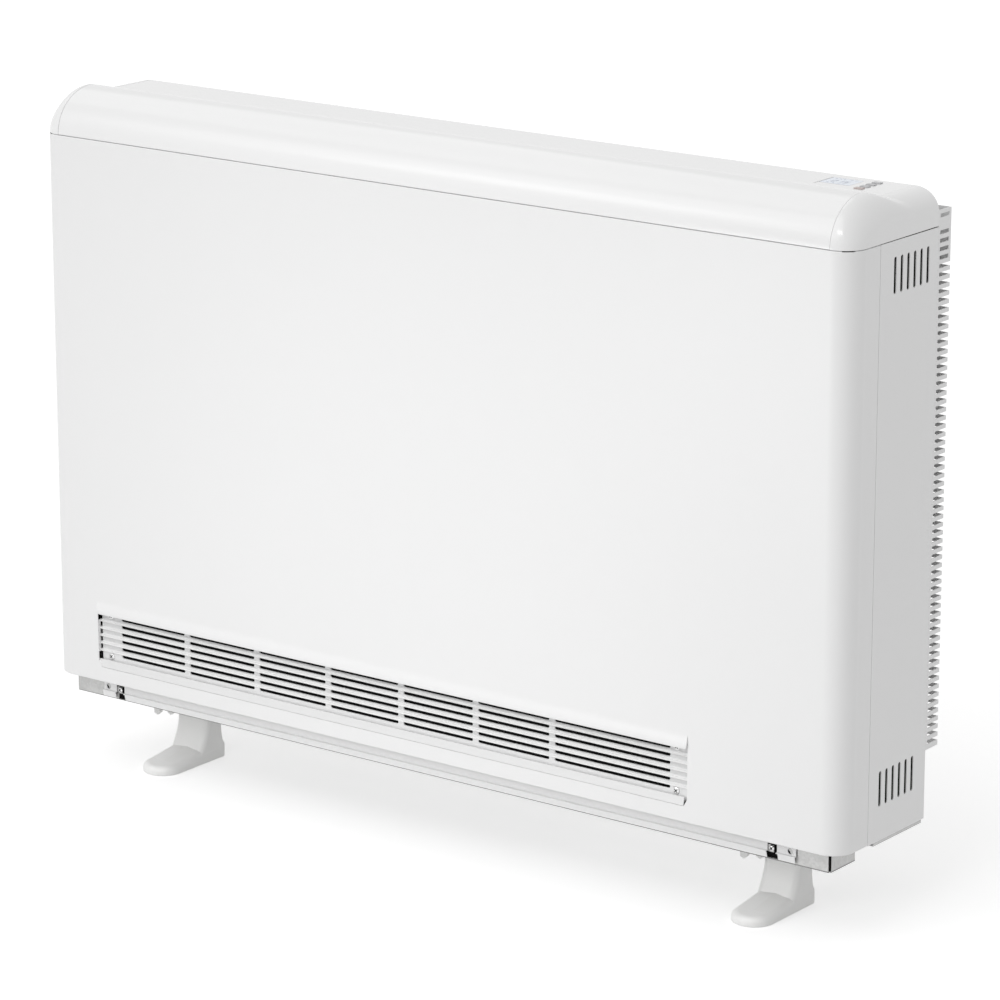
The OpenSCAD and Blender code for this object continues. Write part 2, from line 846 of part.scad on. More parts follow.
module base_tray() {
    color("lightgray") from_front() difference() {
        union() {
            box([-channel_x, channel_setback, base_z], [channel_x, channel_back, base_z + sheet_t]);
            box([-channel_x, channel_setback, base_z], [channel_x, channel_setback + sheet_t, edge_top]);
            box([-channel_x, channel_back - sheet_t, base_z], [channel_x, channel_back, floor_top]);
            both_sides() {
                box([channel_x - sheet_t, channel_setback, base_z], [channel_x, channel_back, floor_top]);
                box([lip_x - sheet_t, wing_y, base_floor], [lip_x, lip_y, edge_top]);
            }
            box([-channel_x, channel_back - sheet_t, base_floor], [channel_x, lip_y, floor_top]);
            box([-lip_x, wing_y, base_floor], [lip_x, lip_y, floor_top]);
            box([-lip_x, lip_y - sheet_t, base_floor], [lip_x, lip_y, edge_top]);
        }
        for (x = [fan_x0:intake_pitch:fan_x1 - intake_w])
            box([x, fan_back - intake_l / 2, base_floor - overlap],
                [x + intake_w, fan_back + intake_l / 2, floor_top + overlap]);
        for (x = [-clip_x, clip_x])
            translate([x, channel_setback, 0]) clip_cut(sheet_t);
        panel_screw_places() bar_y([0, -overlap, 0], screw_d / 2 + screw_gap, sheet_t + 2 * overlap);
        foot_screw_places() bar_z([0, 0, base_floor - overlap], foot_screw_d / 2 + screw_gap,
            sheet_t + 2 * overlap);
        bar_z([gland_x, gland_y, base_floor - overlap], gland_r + screw_gap, sheet_t + 2 * overlap);
    }
}

// Cut beside each panel screw: an upright slot over a wider foot
module clip_cut(depth) {
    box([clip_w - clip_left - clip_slot_w, -overlap, base_z + sheet_t],
        [clip_w - clip_left, depth + overlap, base_z + clip_slot_h]);
    box([-clip_left, -overlap, base_z + sheet_t],
        [clip_w - clip_left, depth + overlap, base_z + clip_foot_h]);
}

module panel_screw_places() {
    for (x = [-clip_x, clip_x])
        translate([x + clip_screw_x, channel_setback, clip_screw_z]) children();
}

module front_rail() {
    back = channel_setback;
    y0 = back - sheet_t;
    y1 = y0 - rail_step;
    band_z = base_z + rail_band_h;
    rail_top = edge_top - rail_top_drop;
    color("gainsboro") from_front() difference() {
        along_x(-rail_x, 2 * rail_x) polygon([
            [y1, base_z], [y1, band_z + sheet_t], [y0, band_z + sheet_t], [y0, rail_top],
            [back, rail_top], [back, band_z], [y1 + sheet_t, band_z], [y1 + sheet_t, base_z + sheet_t],
            [back, base_z + sheet_t], [back, base_z]]);
        for (x = [-clip_x, clip_x])
            translate([x, y1, 0]) clip_cut(rail_step + sheet_t);
        for (x = [-clip_x, clip_x])
            box([x - clip_left, y1 - overlap, base_z + clip_foot_h - tiny],
                [x - clip_left + clip_w, back + overlap, base_z + clip_slot_h]);
        for (x = [rail_hole_margin - rail_x, rail_x - rail_hole_margin])
            bar_y([x, y1 - overlap, base_z + rail_hole_rise], rail_hole_d / 2, back - y1 + 2 * overlap);
    }
}

module panel_screws() {
    color("gray") from_front() panel_screw_places() screw(screw_d, panel_screw_head, panel_screw_l);
}

// Side view of a foot: a thin toe that sweeps up into the upright
function foot_outline() = concat(
    [[foot_toe, 0]],
    [for (a = [180:-30:90]) [foot_toe + toe_r * (1 + cos(a)), toe_t - toe_r * (1 - sin(a))]],
    [for (i = [0:sweep_steps])
        let (u = i / sweep_steps, rise = 1 - pow(1 - pow(u, sweep_power), 1 / sweep_power))
        [foot_toe + toe_run + (upright_d - foot_toe - toe_run) * u, toe_t + sweep_h * rise]],
    [[upright_d, foot_top], [upright_back, foot_top], [upright_back, toe_t + sweep_h / 2],
        [foot_heel, toe_t / 2], [foot_heel, 0]]);

// Plan of a foot: round toe, eased heel
module foot_plan() {
    r = foot_w / 2;
    translate([0, foot_toe + r]) circle(r);
    translate([-r, foot_toe + r]) square([foot_w, foot_heel - foot_toe - r - heel_r]);
    translate([heel_r - r, foot_heel - 2 * heel_r]) square([foot_w - 2 * heel_r, 2 * heel_r]);
    for (s = [-1, 1])
        translate([s * (r - heel_r), foot_heel - heel_r]) circle(heel_r);
}

module foot(x) {
    color("whitesmoke") from_front() translate([x, 0, 0]) difference() {
        union() {
            intersection() {
                along_x(-foot_w / 2, foot_w) polygon(foot_outline());
                linear_extrude(foot_top) foot_plan();
            }
            box([-foot_wing, foot_flange_y[0], foot_flange_z], [foot_w / 2, foot_flange_y[1], foot_top]);
            foot_hook(hooks_x[0], hook_l);
            foot_hook(hooks_x[1], hook_l - hook_step);
        }
        for (y = foot_screws_y)
            bar_z([0, y, foot_flange_z - overlap], foot_screw_d / 2 + thread_gap,
                foot_flange_t + 2 * overlap);
    }
}

// A tapered hook below the flange
module foot_hook(x, length) {
    translate([x, foot_flange_y[0] + hook_t, foot_flange_z]) rotate([90, 0, 0]) linear_extrude(hook_t)
        polygon([[0, tiny], [hook_w, tiny], [hook_w, hook_slant - length], [hook_w / 2, -length],
            [0, hook_slant / 2 - length]]);
}

module left_foot() {
    foot(-foot_x);
}

module right_foot() {
    foot(foot_x);
}

module foot_screw_places() {
    for (x = [-foot_x, foot_x]) for (y = foot_screws_y)
        translate([x, y, 0]) children();
}

module foot_screws() {
    color("gray") from_front() foot_screw_places() translate([0, 0, floor_top]) rotate([-90, 0, 0])
        screw(foot_screw_d, foot_screw_head, sheet_t + foot_flange_t + foot_screw_tip);
}

// ---------- outlet, duct, fan ----------

module outlet_grille() {
    x0 = grille_x0 + grille_gap;
    x1 = grille_x1 - grille_gap;
    z0 = grille_z0 + sill_h + control_gap;
    z1 = grille_z1 - grille_top_gap;
    last_x = slot_x0 + columns * column_pitch;
    color("white") from_front() difference() {
        union() {
            box([x0, recess_d, z0], [x1, plate_back, z1]);
            for (i = [0:slot_rows])
                along_x(x0, x1 - x0) translate([0, row_z0 + (i - 0.5) * row_pitch]) grille_rib();
        }
        for (row = [0:slot_rows - 1])
            translate([0, plate_back + overlap, row_z0 + row * row_pitch]) rotate([90, 0, 0])
                linear_extrude(plate_back + rib_d + 2 * overlap) {
                    for (i = [0:columns - 1])
                        translate([slot_x0 + i * column_pitch, 0]) lying_slot(slot_l, slot_h);
                    translate([last_x, 0]) lying_slot(last_slot_l, slot_h);
                }
        grille_screw_places() {
            bar_y([0, -recess_d - overlap, 0], head_ratio * grille_screw_d / 2 + overlap,
                recess_d + overlap);
            bar_y([0, -overlap, 0], grille_screw_d / 2 + screw_gap, sheet_t + 2 * overlap);
        }
    }
}

// Profile of one louvre rib, standing out of the grille's plate
module grille_rib() {
    polygon([[recess_d + tiny, -rib_base / 2], [recess_d - rib_d, -rib_edge / 2],
        [recess_d - rib_d, rib_edge / 2], [recess_d + tiny, rib_base / 2]]);
}

module grille_screw_places() {
    for (x = grille_screws_x) for (z = grille_screws_z)
        translate([x, recess_d, z]) children();
}

module grille_screws() {
    color("silver") from_front() grille_screw_places()
        screw(grille_screw_d, grille_screw_head, grille_screw_l);
}

module air_duct() {
    legs_x = [duct_x0 + duct_leg_margin[0], (duct_x0 + duct_x1) / 2, duct_x1 - duct_leg_margin[1]];
    mouth_x = [grille_screws_x[0] + 2 * grille_screw_d, grille_screws_x[1] - 2 * grille_screw_d];
    color("lightgray") from_front() difference() {
        union() {
            difference() {
                box([duct_x0, duct_y0, duct_z0], [duct_x1, duct_y1, duct_z1]);
                box([duct_x0 + case_t, duct_y0 - overlap, duct_z0 + case_t],
                    [duct_x1 - case_t, duct_y1 + overlap, duct_z1 - case_t]);
            }
            difference() {
                box([duct_x0 - duct_flange, duct_y0, duct_z0 - duct_flange],
                    [duct_x1 + duct_flange, duct_y0 + case_t, duct_z1]);
                box([mouth_x[0], duct_y0 - overlap, duct_z0 + case_t],
                    [mouth_x[1], duct_y1, duct_z1 - case_t]);
            }
            for (x = legs_x)
                box([x, duct_y1 - case_t, floor_top], [x + duct_leg_w, duct_y1, duct_z0 + tiny]);
        }
        grille_screw_places() bar_y([0, sheet_t, 0], grille_screw_d / 2 + screw_gap, case_t + overlap);
    }
}

module fan_housing() {
    x0 = plate_x[0];
    length = plate_x[1] + plate_t - x0;
    low_y = duct_y1 + control_gap;
    mouth_y = fan_back - scroll_r - 2;
    wide = 2 * scroll_r;
    color("silver") from_front() difference() {
        union() {
            along_x(x0, length) difference() {
                translate([fan_back, fan_z]) circle(scroll_r + scroll_t);
                translate([fan_back, fan_z]) circle(scroll_r);
                translate([fan_back - wide, fan_z - wide]) square([wide, 1.5 * wide - overlap]);
                translate([fan_back - wide, fan_z]) square(wide);
                translate([fan_back - overlap, fan_z - wide]) square([wide, 0.6 * wide]);
            }
            along_x(x0, length) polygon([
                [fan_back + overlap, fan_z + scroll_r], [fan_back + overlap, fan_z + scroll_r + scroll_t],
                [low_y, duct_z1], [low_y, duct_z1 - scroll_t]]);
            along_x(x0, length) polygon([
                [low_y, duct_z0], [low_y, duct_z0 + scroll_t], [mouth_y, duct_z0 + duct_gap],
                [mouth_y, duct_z0 + duct_gap - scroll_t]]);
            for (x = plate_x)
                box([x, low_y, floor_top], [x + plate_t, fan_back + scroll_r + plate_margin, duct_z1]);
        }
        bar_x([x0 - overlap, fan_back, fan_z], bush_r + run_fit, length + 2 * overlap);
    }
}

// Section of one curved blade of the impeller, as a thin arc
module blade() {
    turn = (blade_angles[1] - blade_angles[0]) / blade_steps;
    inner = [for (i = [0:blade_steps]) let (a = blade_angles[0] + turn * i) blade_r * [cos(a), sin(a)]];
    outer = [for (i = [blade_steps:-1:0]) let (a = blade_angles[0] + turn * i)
        (blade_r + blade_t) * [cos(a), sin(a)]];
    polygon(concat(inner, outer));
}

module fan_rotor() {
    shaft_x0 = plate_x[0] - bush_flange_t - overlap;
    color("dimgray") from_front() union() {
        bar_x([shaft_x0, fan_back, fan_z], shaft_r, motor_x + motor_l - plate_t - shaft_x0);
        for (x = [fan_x0, fan_x0 + (fan_l - disc_t) / 2, fan_x1 - disc_t])
            bar_x([x, fan_back, fan_z], fan_r, disc_t);
        along_x(fan_x0 + tiny, fan_l - 2 * tiny) translate([fan_back, fan_z]) for (i = [0:blades - 1])
            rotate(i * 360 / blades) translate(blade_place) rotate(blade_tilt) blade();
    }
}

module fan_bearing() {
    x = plate_x[0];
    color("darkgoldenrod") from_front() difference() {
        union() {
            bar_x([x - bush_flange_t, fan_back, fan_z], bush_r + bush_wall, bush_flange_t);
            bar_x([x - tiny, fan_back, fan_z], bush_r, plate_t + bush_proud);
        }
        bar_x([x - bush_flange_t - overlap, fan_back, fan_z], shaft_r + run_fit,
            bush_flange_t + plate_t + bush_proud + 2 * overlap);
    }
}

module fan_motor() {
    h = motor_w / 2;
    color("slategray") from_front() difference() {
        union() {
            box([motor_x, fan_back - h, fan_z - h], [motor_x + motor_l, fan_back + h, fan_z + h]);
            box([motor_x + 2, fan_back - coil_w / 2, fan_z + h - tiny],
                [motor_x + motor_l + coil_proud, fan_back + coil_w / 2, fan_z + h + coil_h]);
            bar_x([motor_x - plate_t, fan_back, fan_z], bush_r, plate_t + tiny);
        }
        bar_x([motor_x - plate_t - overlap, fan_back, fan_z], shaft_r + run_fit,
            motor_l + plate_t + 2 * overlap);
    }
}

module bypass_flap() {
    pin_l = flap_ear_t + flap_ear_gap;
    color("silver") from_front() {
        bar_x([flap_x[0] - pin_l, duct_y1, flap_z], flap_pin_d / 2, flap_x[1] - flap_x[0] + 2 * pin_l);
        box([flap_x[0], duct_y1, flap_z - flap_t / 2], [flap_x[1], duct_y1 + flap_l, flap_z + flap_t / 2]);
    }
}

module flap_brackets() {
    color("lightgray") from_front()
        for (x = [flap_x[0] - flap_ear_t - flap_ear_gap, flap_x[1] + flap_ear_gap])
            difference() {
                box([x, duct_y1 - flap_ear_r, flap_z - flap_ear_r + 2],
                    [x + flap_ear_t, duct_y1 + flap_ear_r, core_z0]);
                bar_x([x - overlap, duct_y1, flap_z], flap_pin_d / 2 + run_fit, flap_ear_t + 2 * overlap);
            }
}

module flap_actuator() {
    x = flap_x[1] - actuator_margin - actuator_w;
    y = duct_y1 + flap_ear_r;
    z = flap_z + flap_t / 2 + control_gap;
    color("peru") from_front() {
        box([x, y, core_z0 - actuator_l / 3], [x + actuator_w, y + actuator_l, core_z0]);
        bar_z([x + actuator_w / 2, y + actuator_l / 2, z], plunger_r, core_z0 - z - tiny);
    }
}

// ---------- core ----------

module core_case() {
    color("silver") from_front() difference() {
        union() {
            box([core_x0, core_front, core_z0], [core_x1, core_y1, core_z1]);
            stand(core_x0, stand_w[0]);
            stand(core_x1 - stand_w[1], stand_w[1]);
        }
        box([inner_x0, core_front - overlap, inner_z0], [inner_x1, inner_y1, inner_z1]);
        passages(core_z0 - overlap, inner_z0 + overlap);
        for (z = element_z) for (s = [-1, 1])
            bar_x([inner_x1 - overlap, stack_mid + s * element_legs / 2, z], groove_d / 2,
                case_t + 2 * overlap);
        bar_x([inner_x1 - overlap, stack_mid, sensor_z], sensor_r + sensor_gap, case_t + 2 * overlap);
    }
}

// A folded stand under one end of the core
module stand(x, width) {
    difference() {
        box([x, stand_y[0], floor_top], [x + width, stand_y[1], core_z0 + tiny]);
        box([x + sheet_t, stand_y[0] + sheet_t, floor_top - overlap],
            [x + width - sheet_t, stand_y[1] + overlap, core_z0 - sheet_t]);
    }
}

// The upright air passages through the bricks and what is under them
module passages(z0, z1) {
    for (x = passages_x)
        box([x - passage_l / 2, stack_mid - passage_w / 2, z0],
            [x + passage_l / 2, stack_mid + passage_w / 2, z1]);
}

module core_cover() {
    color("silver") from_front()
        box([core_x0, core_front - case_t, core_z0], [core_x1, core_front, core_z1]);
}

module front_insulation() {
    color("tan") from_front() box([inner_x0, core_front, stack_z0],
        [inner_x1, core_front + ins_d, stack_z1 + brick_gap]);
}

module rear_insulation() {
    color("tan") from_front() box([inner_x0, inner_y1 - ins_d, stack_z0],
        [inner_x1, inner_y1, stack_z1 + brick_gap]);
}

module left_insulation() {
    color("tan") from_front()
        box([inner_x0, core_front + ins_d, stack_z0],
            [inner_x0 + ins_end, inner_y1 - ins_d, stack_z1 + brick_gap]);
}

module right_insulation() {
    color("tan") from_front() difference() {
        box([inner_x1 - ins_end, core_front + ins_d, stack_z0],
            [inner_x1, inner_y1 - ins_d, stack_z1 + brick_gap]);
        for (z = element_z) for (s = [-1, 1])
            bar_x([inner_x1 - ins_end - overlap, stack_mid + s * element_legs / 2, z], groove_d / 2,
                ins_end + 2 * overlap);
        bar_x([inner_x1 - ins_end - overlap, stack_mid, sensor_z], sensor_r + sensor_gap,
            ins_end + 2 * overlap);
    }
}

module top_insulation() {
    color("tan") from_front() difference() {
        box([inner_x0, core_front, inner_z1 - ins_top], [inner_x1, inner_y1, inner_z1]);
        for (i = [0:brick_cols - 1])
            box([passages_x[2 * i] - passage_l / 2, stack_mid - passage_w / 2, inner_z1 - ins_top - overlap],
                [passages_x[2 * i + 1] + passage_l / 2, stack_mid + passage_w / 2, inner_z1 - ins_top / 2]);
    }
}

module base_insulation() {
    color("burlywood") from_front() difference() {
        box([inner_x0, core_front, inner_z0], [inner_x1, inner_y1, stack_z0]);
        passages(inner_z0 - overlap, stack_z0 + overlap);
    }
}

// Route of a heating element: two straight legs and a bend at the left
module element_route(z, r, x1) {
    for (s = [-1, 1])
        bar_x([bend_x, stack_mid + s * element_legs / 2, z], r, x1 - bend_x);
    translate([bend_x, stack_mid, z]) rotate([0, 0, 90]) rotate_extrude(angle = 180)
        translate([element_legs / 2, 0]) circle(r);
}

module brick_row(i) {
    z0 = stack_z0 + i * brick_h;
    color("saddlebrown") from_front() difference() {
        for (k = [0:brick_cols - 1]) {
            x = stack_x0 + k * (brick_l + brick_gap);
            box([x, stack_y0, z0], [x + brick_l, stack_y1, z0 + brick_h]);
        }
        passages(z0 - overlap, z0 + brick_h + overlap);
        element_route(element_z[floor(i / 2)], groove_d / 2, stack_x1 + overlap);
    }
}

module brick_row_1() { brick_row(0); }
module brick_row_2() { brick_row(1); }
module brick_row_3() { brick_row(2); }
module brick_row_4() { brick_row(3); }
module brick_row_5() { brick_row(4); }
module brick_row_6() { brick_row(5); }

module heating_element(i) {
    color("dimgray") from_front() element_route(element_z[i], element_d / 2, core_x1 + terminal_l);
}

module lower_heating_element() { heating_element(0); }
module middle_heating_element() { heating_element(1); }
module upper_heating_element() { heating_element(2); }

module element_terminals() {
    collar_r = element_d / 2 + 4;
    collar_t = 7;
    tab = [6, 8, 1];
    color("ivory") from_front() for (z = element_z) for (s = [-1, 1]) {
        y = stack_mid + s * element_legs / 2;
        difference() {
            bar_x([core_x1, y, z], collar_r, collar_t);
            bar_x([core_x1 - overlap, y, z], element_d / 2 + screw_gap, collar_t + 2 * overlap);
        }
        bar_x([core_x1 + terminal_l, y, z], element_d / 4, terminal_pin_l);
        translate([core_x1 + terminal_l + terminal_pin_l / 2, y, z]) cube(tab, center = true);
    }
}

// ---------- controls in the lid ----------

function button_y(i) = display_d + (i - 1.5) * button_pitch;

module control_housing() {
    posts_x = [housing_x0 + housing_post_inset, housing_x1 - housing_post_inset];
    posts_y = [housing_y0 + housing_post_inset, housing_y1 - housing_post_inset];
    color("whitesmoke") from_front() difference() {
        box([housing_x0, housing_y0, housing_z], [housing_x1, housing_y1, lid_under]);
        difference() {
            box([housing_x0 + housing_t, housing_y0 + housing_t, housing_z + housing_t],
                [housing_x1 - housing_t, housing_y1 - housing_t, lid_under + overlap]);
            for (x = posts_x) for (y = posts_y)
                bar_z([x, y, housing_z], housing_post_r, board_z - housing_z);
        }
        box([wire_slot_x - wire_slot[0] / 2, wire_slot_y - wire_slot[1] / 2, housing_z - overlap],
            [wire_slot_x + wire_slot[0] / 2, wire_slot_y + wire_slot[1] / 2,
                housing_z + housing_t + overlap]);
    }
}

module control_board() {
    m = housing_t + control_gap;
    half = switch_w / 2;
    color("seagreen") from_front() {
        box([housing_x0 + m, housing_y0 + m, board_z], [housing_x1 - m, housing_y1 - m, board_top]);
        for (i = [0:3]) {
            box([buttons_x - half, button_y(i) - half, board_top - tiny],
                [buttons_x + half, button_y(i) + half, board_top + switch_h]);
            bar_z([buttons_x, button_y(i), board_top], switch_plunger_r, switch_h + plunger_h);
        }
        box([display_x - socket_w / 2, housing_y0 + 2 * m, board_z - socket_h],
            [display_x + socket_w / 2, housing_y0 + 2 * m + socket_l, board_z + tiny]);
    }
}

module display_module() {
    w = display_w / 2 + 1;
    l = display_l / 2 + 1;
    color("darkslategray") from_front()
        box([display_x - w, display_d - l, board_top],
            [display_x + w, display_d + l, lid_under - control_gap]);
}

module display_window() {
    w = display_w / 2 - control_gap;
    l = display_l / 2 - control_gap;
    color("lightsteelblue") from_front()
        box([display_x - w, display_d - l, lid_under - control_gap],
            [display_x + w, display_d + l, lid_top - control_gap]);
}

module button(i) {
    w = button_w / 2;
    l = button_l / 2;
    y = button_y(i);
    under = lid_under - control_gap;
    color("gray") from_front() {
        box([buttons_x - w, y - l, under - tiny], [buttons_x + w, y + l, lid_top + button_proud]);
        box([buttons_x - w - button_flange, y - l - button_flange, under - button_flange],
            [buttons_x + w + button_flange, y + l + button_flange, under]);
        bar_z([buttons_x, y, stem_z], stem_r, under - stem_z);
    }
}

module menu_button() { button(0); }
module down_button() { button(1); }
module up_button() { button(2); }
module confirm_button() { button(3); }

// ---------- electrical bay ----------

module thermal_cutout() {
    half = cutout_d / 2 + cutout_ear[0];
    color("saddlebrown") from_front() difference() {
        union() {
            bar_x([core_x1, stack_mid, cutout_z], cutout_d / 2, cutout_l);
            box([core_x1, stack_mid - half, cutout_z - cutout_ear[1] / 2],
                [core_x1 + cutout_ear[2], stack_mid + half, cutout_z + cutout_ear[1] / 2]);
        }
        bar_x([core_x1 + cutout_l - cutout_bore_l, stack_mid, cutout_z], reset_d / 2 + reset_gap,
            cutout_bore_l + overlap);
    }
}

module reset_button() {
    x = core_x1 + cutout_l - cutout_bore_l + reset_travel + control_gap;
    color("red") from_front()
        bar_x([x, stack_mid, cutout_z], reset_d / 2, core_x1 + cutout_l + reset_proud - x);
}

module core_sensor() {
    x = inner_x1 - ins_end;
    color("goldenrod") from_front() {
        bar_x([x, stack_mid, sensor_z], sensor_r, core_x1 - x + nut_margin);
        translate([core_x1, stack_mid, sensor_z]) rotate([0, 90, 0])
            cylinder(r = sensor_r + nut_margin, h = nut_h, $fn = 6);
    }
}

module room_sensor() {
    z = base_z + sheet_t;
    color("whitesmoke") from_front() translate([room_sensor_x, room_sensor_y, z]) {
        cube(room_sensor);
        bar_z([room_sensor[0] / 2, room_sensor[1] / 2, room_sensor[2] - tiny], bead_r, 2 * bead_r);
    }
}

module power_bracket() {
    x = core_x1 + bracket_gap;
    color("lightgray") from_front() {
        box([x, bracket_y[0], bracket_z[0]], [x + sheet_t, bracket_y[1], bracket_z[1]]);
        for (z = [bracket_z[0], bracket_z[1] - sheet_t])
            box([core_x1, bracket_y[0], z], [x + tiny, bracket_y[1], z + sheet_t]);
    }
}

module power_board() {
    posts_y = [bracket_y[0] + standoff_inset[0], bracket_y[1] - standoff_inset[0]];
    posts_z = [bracket_z[0] + standoff_inset[1], bracket_z[1] - standoff_inset[1]];
    color("darkgreen") from_front() {
        for (y = posts_y) for (z = posts_z)
            bar_x([power_x - standoff_l, y, z], standoff_r, standoff_l);
        box([power_x - tiny, bracket_y[0] + 1, bracket_z[0] + 3],
            [power_top, bracket_y[1] - 1, bracket_z[1] - 3]);
        for (z = relay_z) {
            on_power_board([relay_y[0], relay_y[1]], [z, z + relay_h], relay_t);
            on_power_board([-relay_y[1], fuse_l - relay_y[1]], [z, z + relay_h], relay_t);
        }
        on_power_board(plug_y, plug_z, plug_t);
        on_power_board(choke_y, choke_z, choke_t);
    }
}

// A block on the power board, between two places each way
module on_power_board(y, z, height) {
    box([power_top - tiny, stack_mid + y[0], z[0]], [power_top + height, stack_mid + y[1], z[1]]);
}

module terminal_block() {
    color("ivory") from_front() difference() {
        union() {
            box([block_x, block_y, floor_top],
                [block_x + block_w, block_y + block_l, floor_top + block_h - block_step[1]]);
            box([block_x, block_y + block_step[0], floor_top],
                [block_x + block_w, block_y + block_l - block_step[0], floor_top + block_h]);
        }
        for (x = poles_x) {
            bar_z([x, pole_y, floor_top + block_h / 3], pole_r, block_h);
            bar_y([x, block_y - overlap, floor_top + block_h / 3], entry_r, block_l + 2 * overlap);
        }
    }
}

module cable_gland() {
    nut_r = gland_r + gland_nut_margin;
    z0 = base_floor - gland_drop;
    color("dimgray") from_front() translate([gland_x, gland_y, 0]) difference() {
        union() {
            bar_z([0, 0, z0], gland_r, gland_l);
            for (z = [floor_top, base_floor - gland_nut_h])
                translate([0, 0, z]) cylinder(r = nut_r, h = gland_nut_h, $fn = 6);
        }
        bar_z([0, 0, z0 - overlap], cable_hole / 2, gland_l + 2 * overlap);
    }
}

// Insulated wires: supply to power board, power board to elements, fan and control board
module wiring_loom() {
    gap = control_gap;
    block_top = floor_top + block_h;
    pin_x = core_x1 + terminal_l + terminal_pin_l + gap;
    motor_z = fan_z + (motor_w + coil_h) / 2;
    coil_x = motor_x + motor_l + coil_proud;
    turn_x = coil_x + 30;
    turn_y = stand_y[1] + 9;
    over_z = core_z1 + 8;
    last_x = poles_x[poles - 1];
    color("firebrick") from_front() {
        for (i = [0:2]) {
            rise = block_top + 40 + 8 * i;
            y = stack_mid - 8 + 5 * i;
            wire([[poles_x[i], pole_y, block_top + gap], [poles_x[i], pole_y, rise],
                [power_top + 6, y, rise], [power_top + 6, y, plug_z[0] - gap]], wire_r);
        }
        for (i = [0:2]) for (s = [-1, 1]) {
            leg_y = stack_mid + s * element_legs / 2;
            side_y = stack_mid + s * (bracket_half + 6);
            x = power_top + 4 + 4 * i;
            z = relay_z[i] + relay_h / 2;
            wire([[pin_x, leg_y, element_z[i]], [x, leg_y, element_z[i]], [x, side_y, element_z[i]],
                [x, side_y, z], [x, stack_mid + s * (relay_y[1] + gap), z]], wire_r);
        }
        wire([[coil_x + gap, fan_back, motor_z], [turn_x, fan_back, motor_z], [turn_x, turn_y, motor_z],
            [last_x, turn_y, motor_z], [last_x, pole_y, motor_z], [last_x, pole_y, block_top + gap]],
            wire_r);
        wire([[power_top + 8, stack_mid, choke_z[1] + gap], [power_top + 8, stack_mid, over_z],
            [wire_slot_x, wire_slot_y, over_z], [wire_slot_x, wire_slot_y, board_z - gap]], wire_r);
    }
}

front_panel();
left_side_panel();
right_side_panel();
top_lid();
left_end_cap();
right_end_cap();
rear_panel();
wall_spacer();
spacer_screws();
base_tray();
front_rail();
panel_screws();
outlet_grille();
grille_screws();
left_foot();
right_foot();
foot_screws();
core_case();
core_cover();
front_insulation();
rear_insulation();
left_insulation();
right_insulation();
top_insulation();
base_insulation();
brick_row_1();
brick_row_2();
brick_row_3();
brick_row_4();
brick_row_5();
brick_row_6();
lower_heating_element();
middle_heating_element();
upper_heating_element();
element_terminals();
air_duct();
fan_housing();
fan_rotor();
fan_bearing();
fan_motor();
bypass_flap();
flap_brackets();
flap_actuator();
control_housing();
control_board();
display_module();
display_window();
menu_button();
down_button();
up_button();
confirm_button();
thermal_cutout();
reset_button();
core_sensor();
room_sensor();
power_bracket();
power_board();
terminal_block();
cable_gland();
wiring_loom();
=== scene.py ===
import math

import bmesh
import bpy
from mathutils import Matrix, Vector


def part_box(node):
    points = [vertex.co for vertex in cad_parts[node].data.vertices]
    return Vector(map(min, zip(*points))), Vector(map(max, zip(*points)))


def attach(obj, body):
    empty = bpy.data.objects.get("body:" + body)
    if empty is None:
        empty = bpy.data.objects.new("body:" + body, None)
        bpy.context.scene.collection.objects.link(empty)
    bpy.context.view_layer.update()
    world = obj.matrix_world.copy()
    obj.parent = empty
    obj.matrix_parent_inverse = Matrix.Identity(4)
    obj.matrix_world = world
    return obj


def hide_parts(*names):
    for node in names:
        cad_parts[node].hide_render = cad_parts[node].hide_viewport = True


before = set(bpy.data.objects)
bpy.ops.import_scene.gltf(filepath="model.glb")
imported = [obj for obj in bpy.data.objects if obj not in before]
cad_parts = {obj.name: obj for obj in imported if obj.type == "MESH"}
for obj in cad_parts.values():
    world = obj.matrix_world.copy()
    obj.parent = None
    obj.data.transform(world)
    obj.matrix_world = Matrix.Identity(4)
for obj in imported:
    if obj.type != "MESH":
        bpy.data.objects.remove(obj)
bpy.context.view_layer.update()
scene = bpy.context.scene


# ---------- the picture ----------
# The heater stands on a plain white floor and is seen from its right front corner, a little above the lid.
# One broad soft lamp stands in front on the left and three soft boxes stand nearer, in a white room.
# Two more boxes light nothing but reflections: the sheen of the lid and of the corner of its cap.

camera_place = (2.659, -3.4995, 1.552)
camera_turn = 36.86
camera_tilt = 15.28
camera_lens = 162.4
camera_reach = 100
lamp_strength = 0.79
lamp_softness = 60
lamp_side = -16
lamp_height = 43
soft_boxes = {"left_soft_box": ((-1.5, -1.95, 2.15), (0, -0.08, 0.7), (0.6, 0.6), 1.7),
              "front_soft_box": ((-0.04, -0.9, 0.4), (0.02, -0.08, 0.33), (0.4, 0.4), 1.3),
              "right_soft_box": ((0.9, -1.65, 1.95), (0.48, -0.08, 0.7), (0.2, 0.2), 0.5)}
sheen_boxes = {"corner_sheen": ((0.69, -1.34, 1.63), (0.482, -0.078, 0.7), (0.8, 0.14), 3.4),
               "overhead_sheen": ((-1.65, 0.75, 3.1), (0, -0.06, 0.72), (2.6, 2.6), 14)}
room_light = 0.64
floor_bounce = 0.75
floor_share = 0.88
floor_glow = 0.38
floor_half = 30

eye = bpy.data.cameras.new("camera")
eye.lens = camera_lens
eye.clip_end = camera_reach
camera = bpy.data.objects.new("camera", eye)
camera.location = camera_place
camera.rotation_euler = (math.radians(90 - camera_tilt), 0, math.radians(camera_turn))
scene.collection.objects.link(camera)
scene.camera = camera
scene.view_settings.view_transform = "Standard"

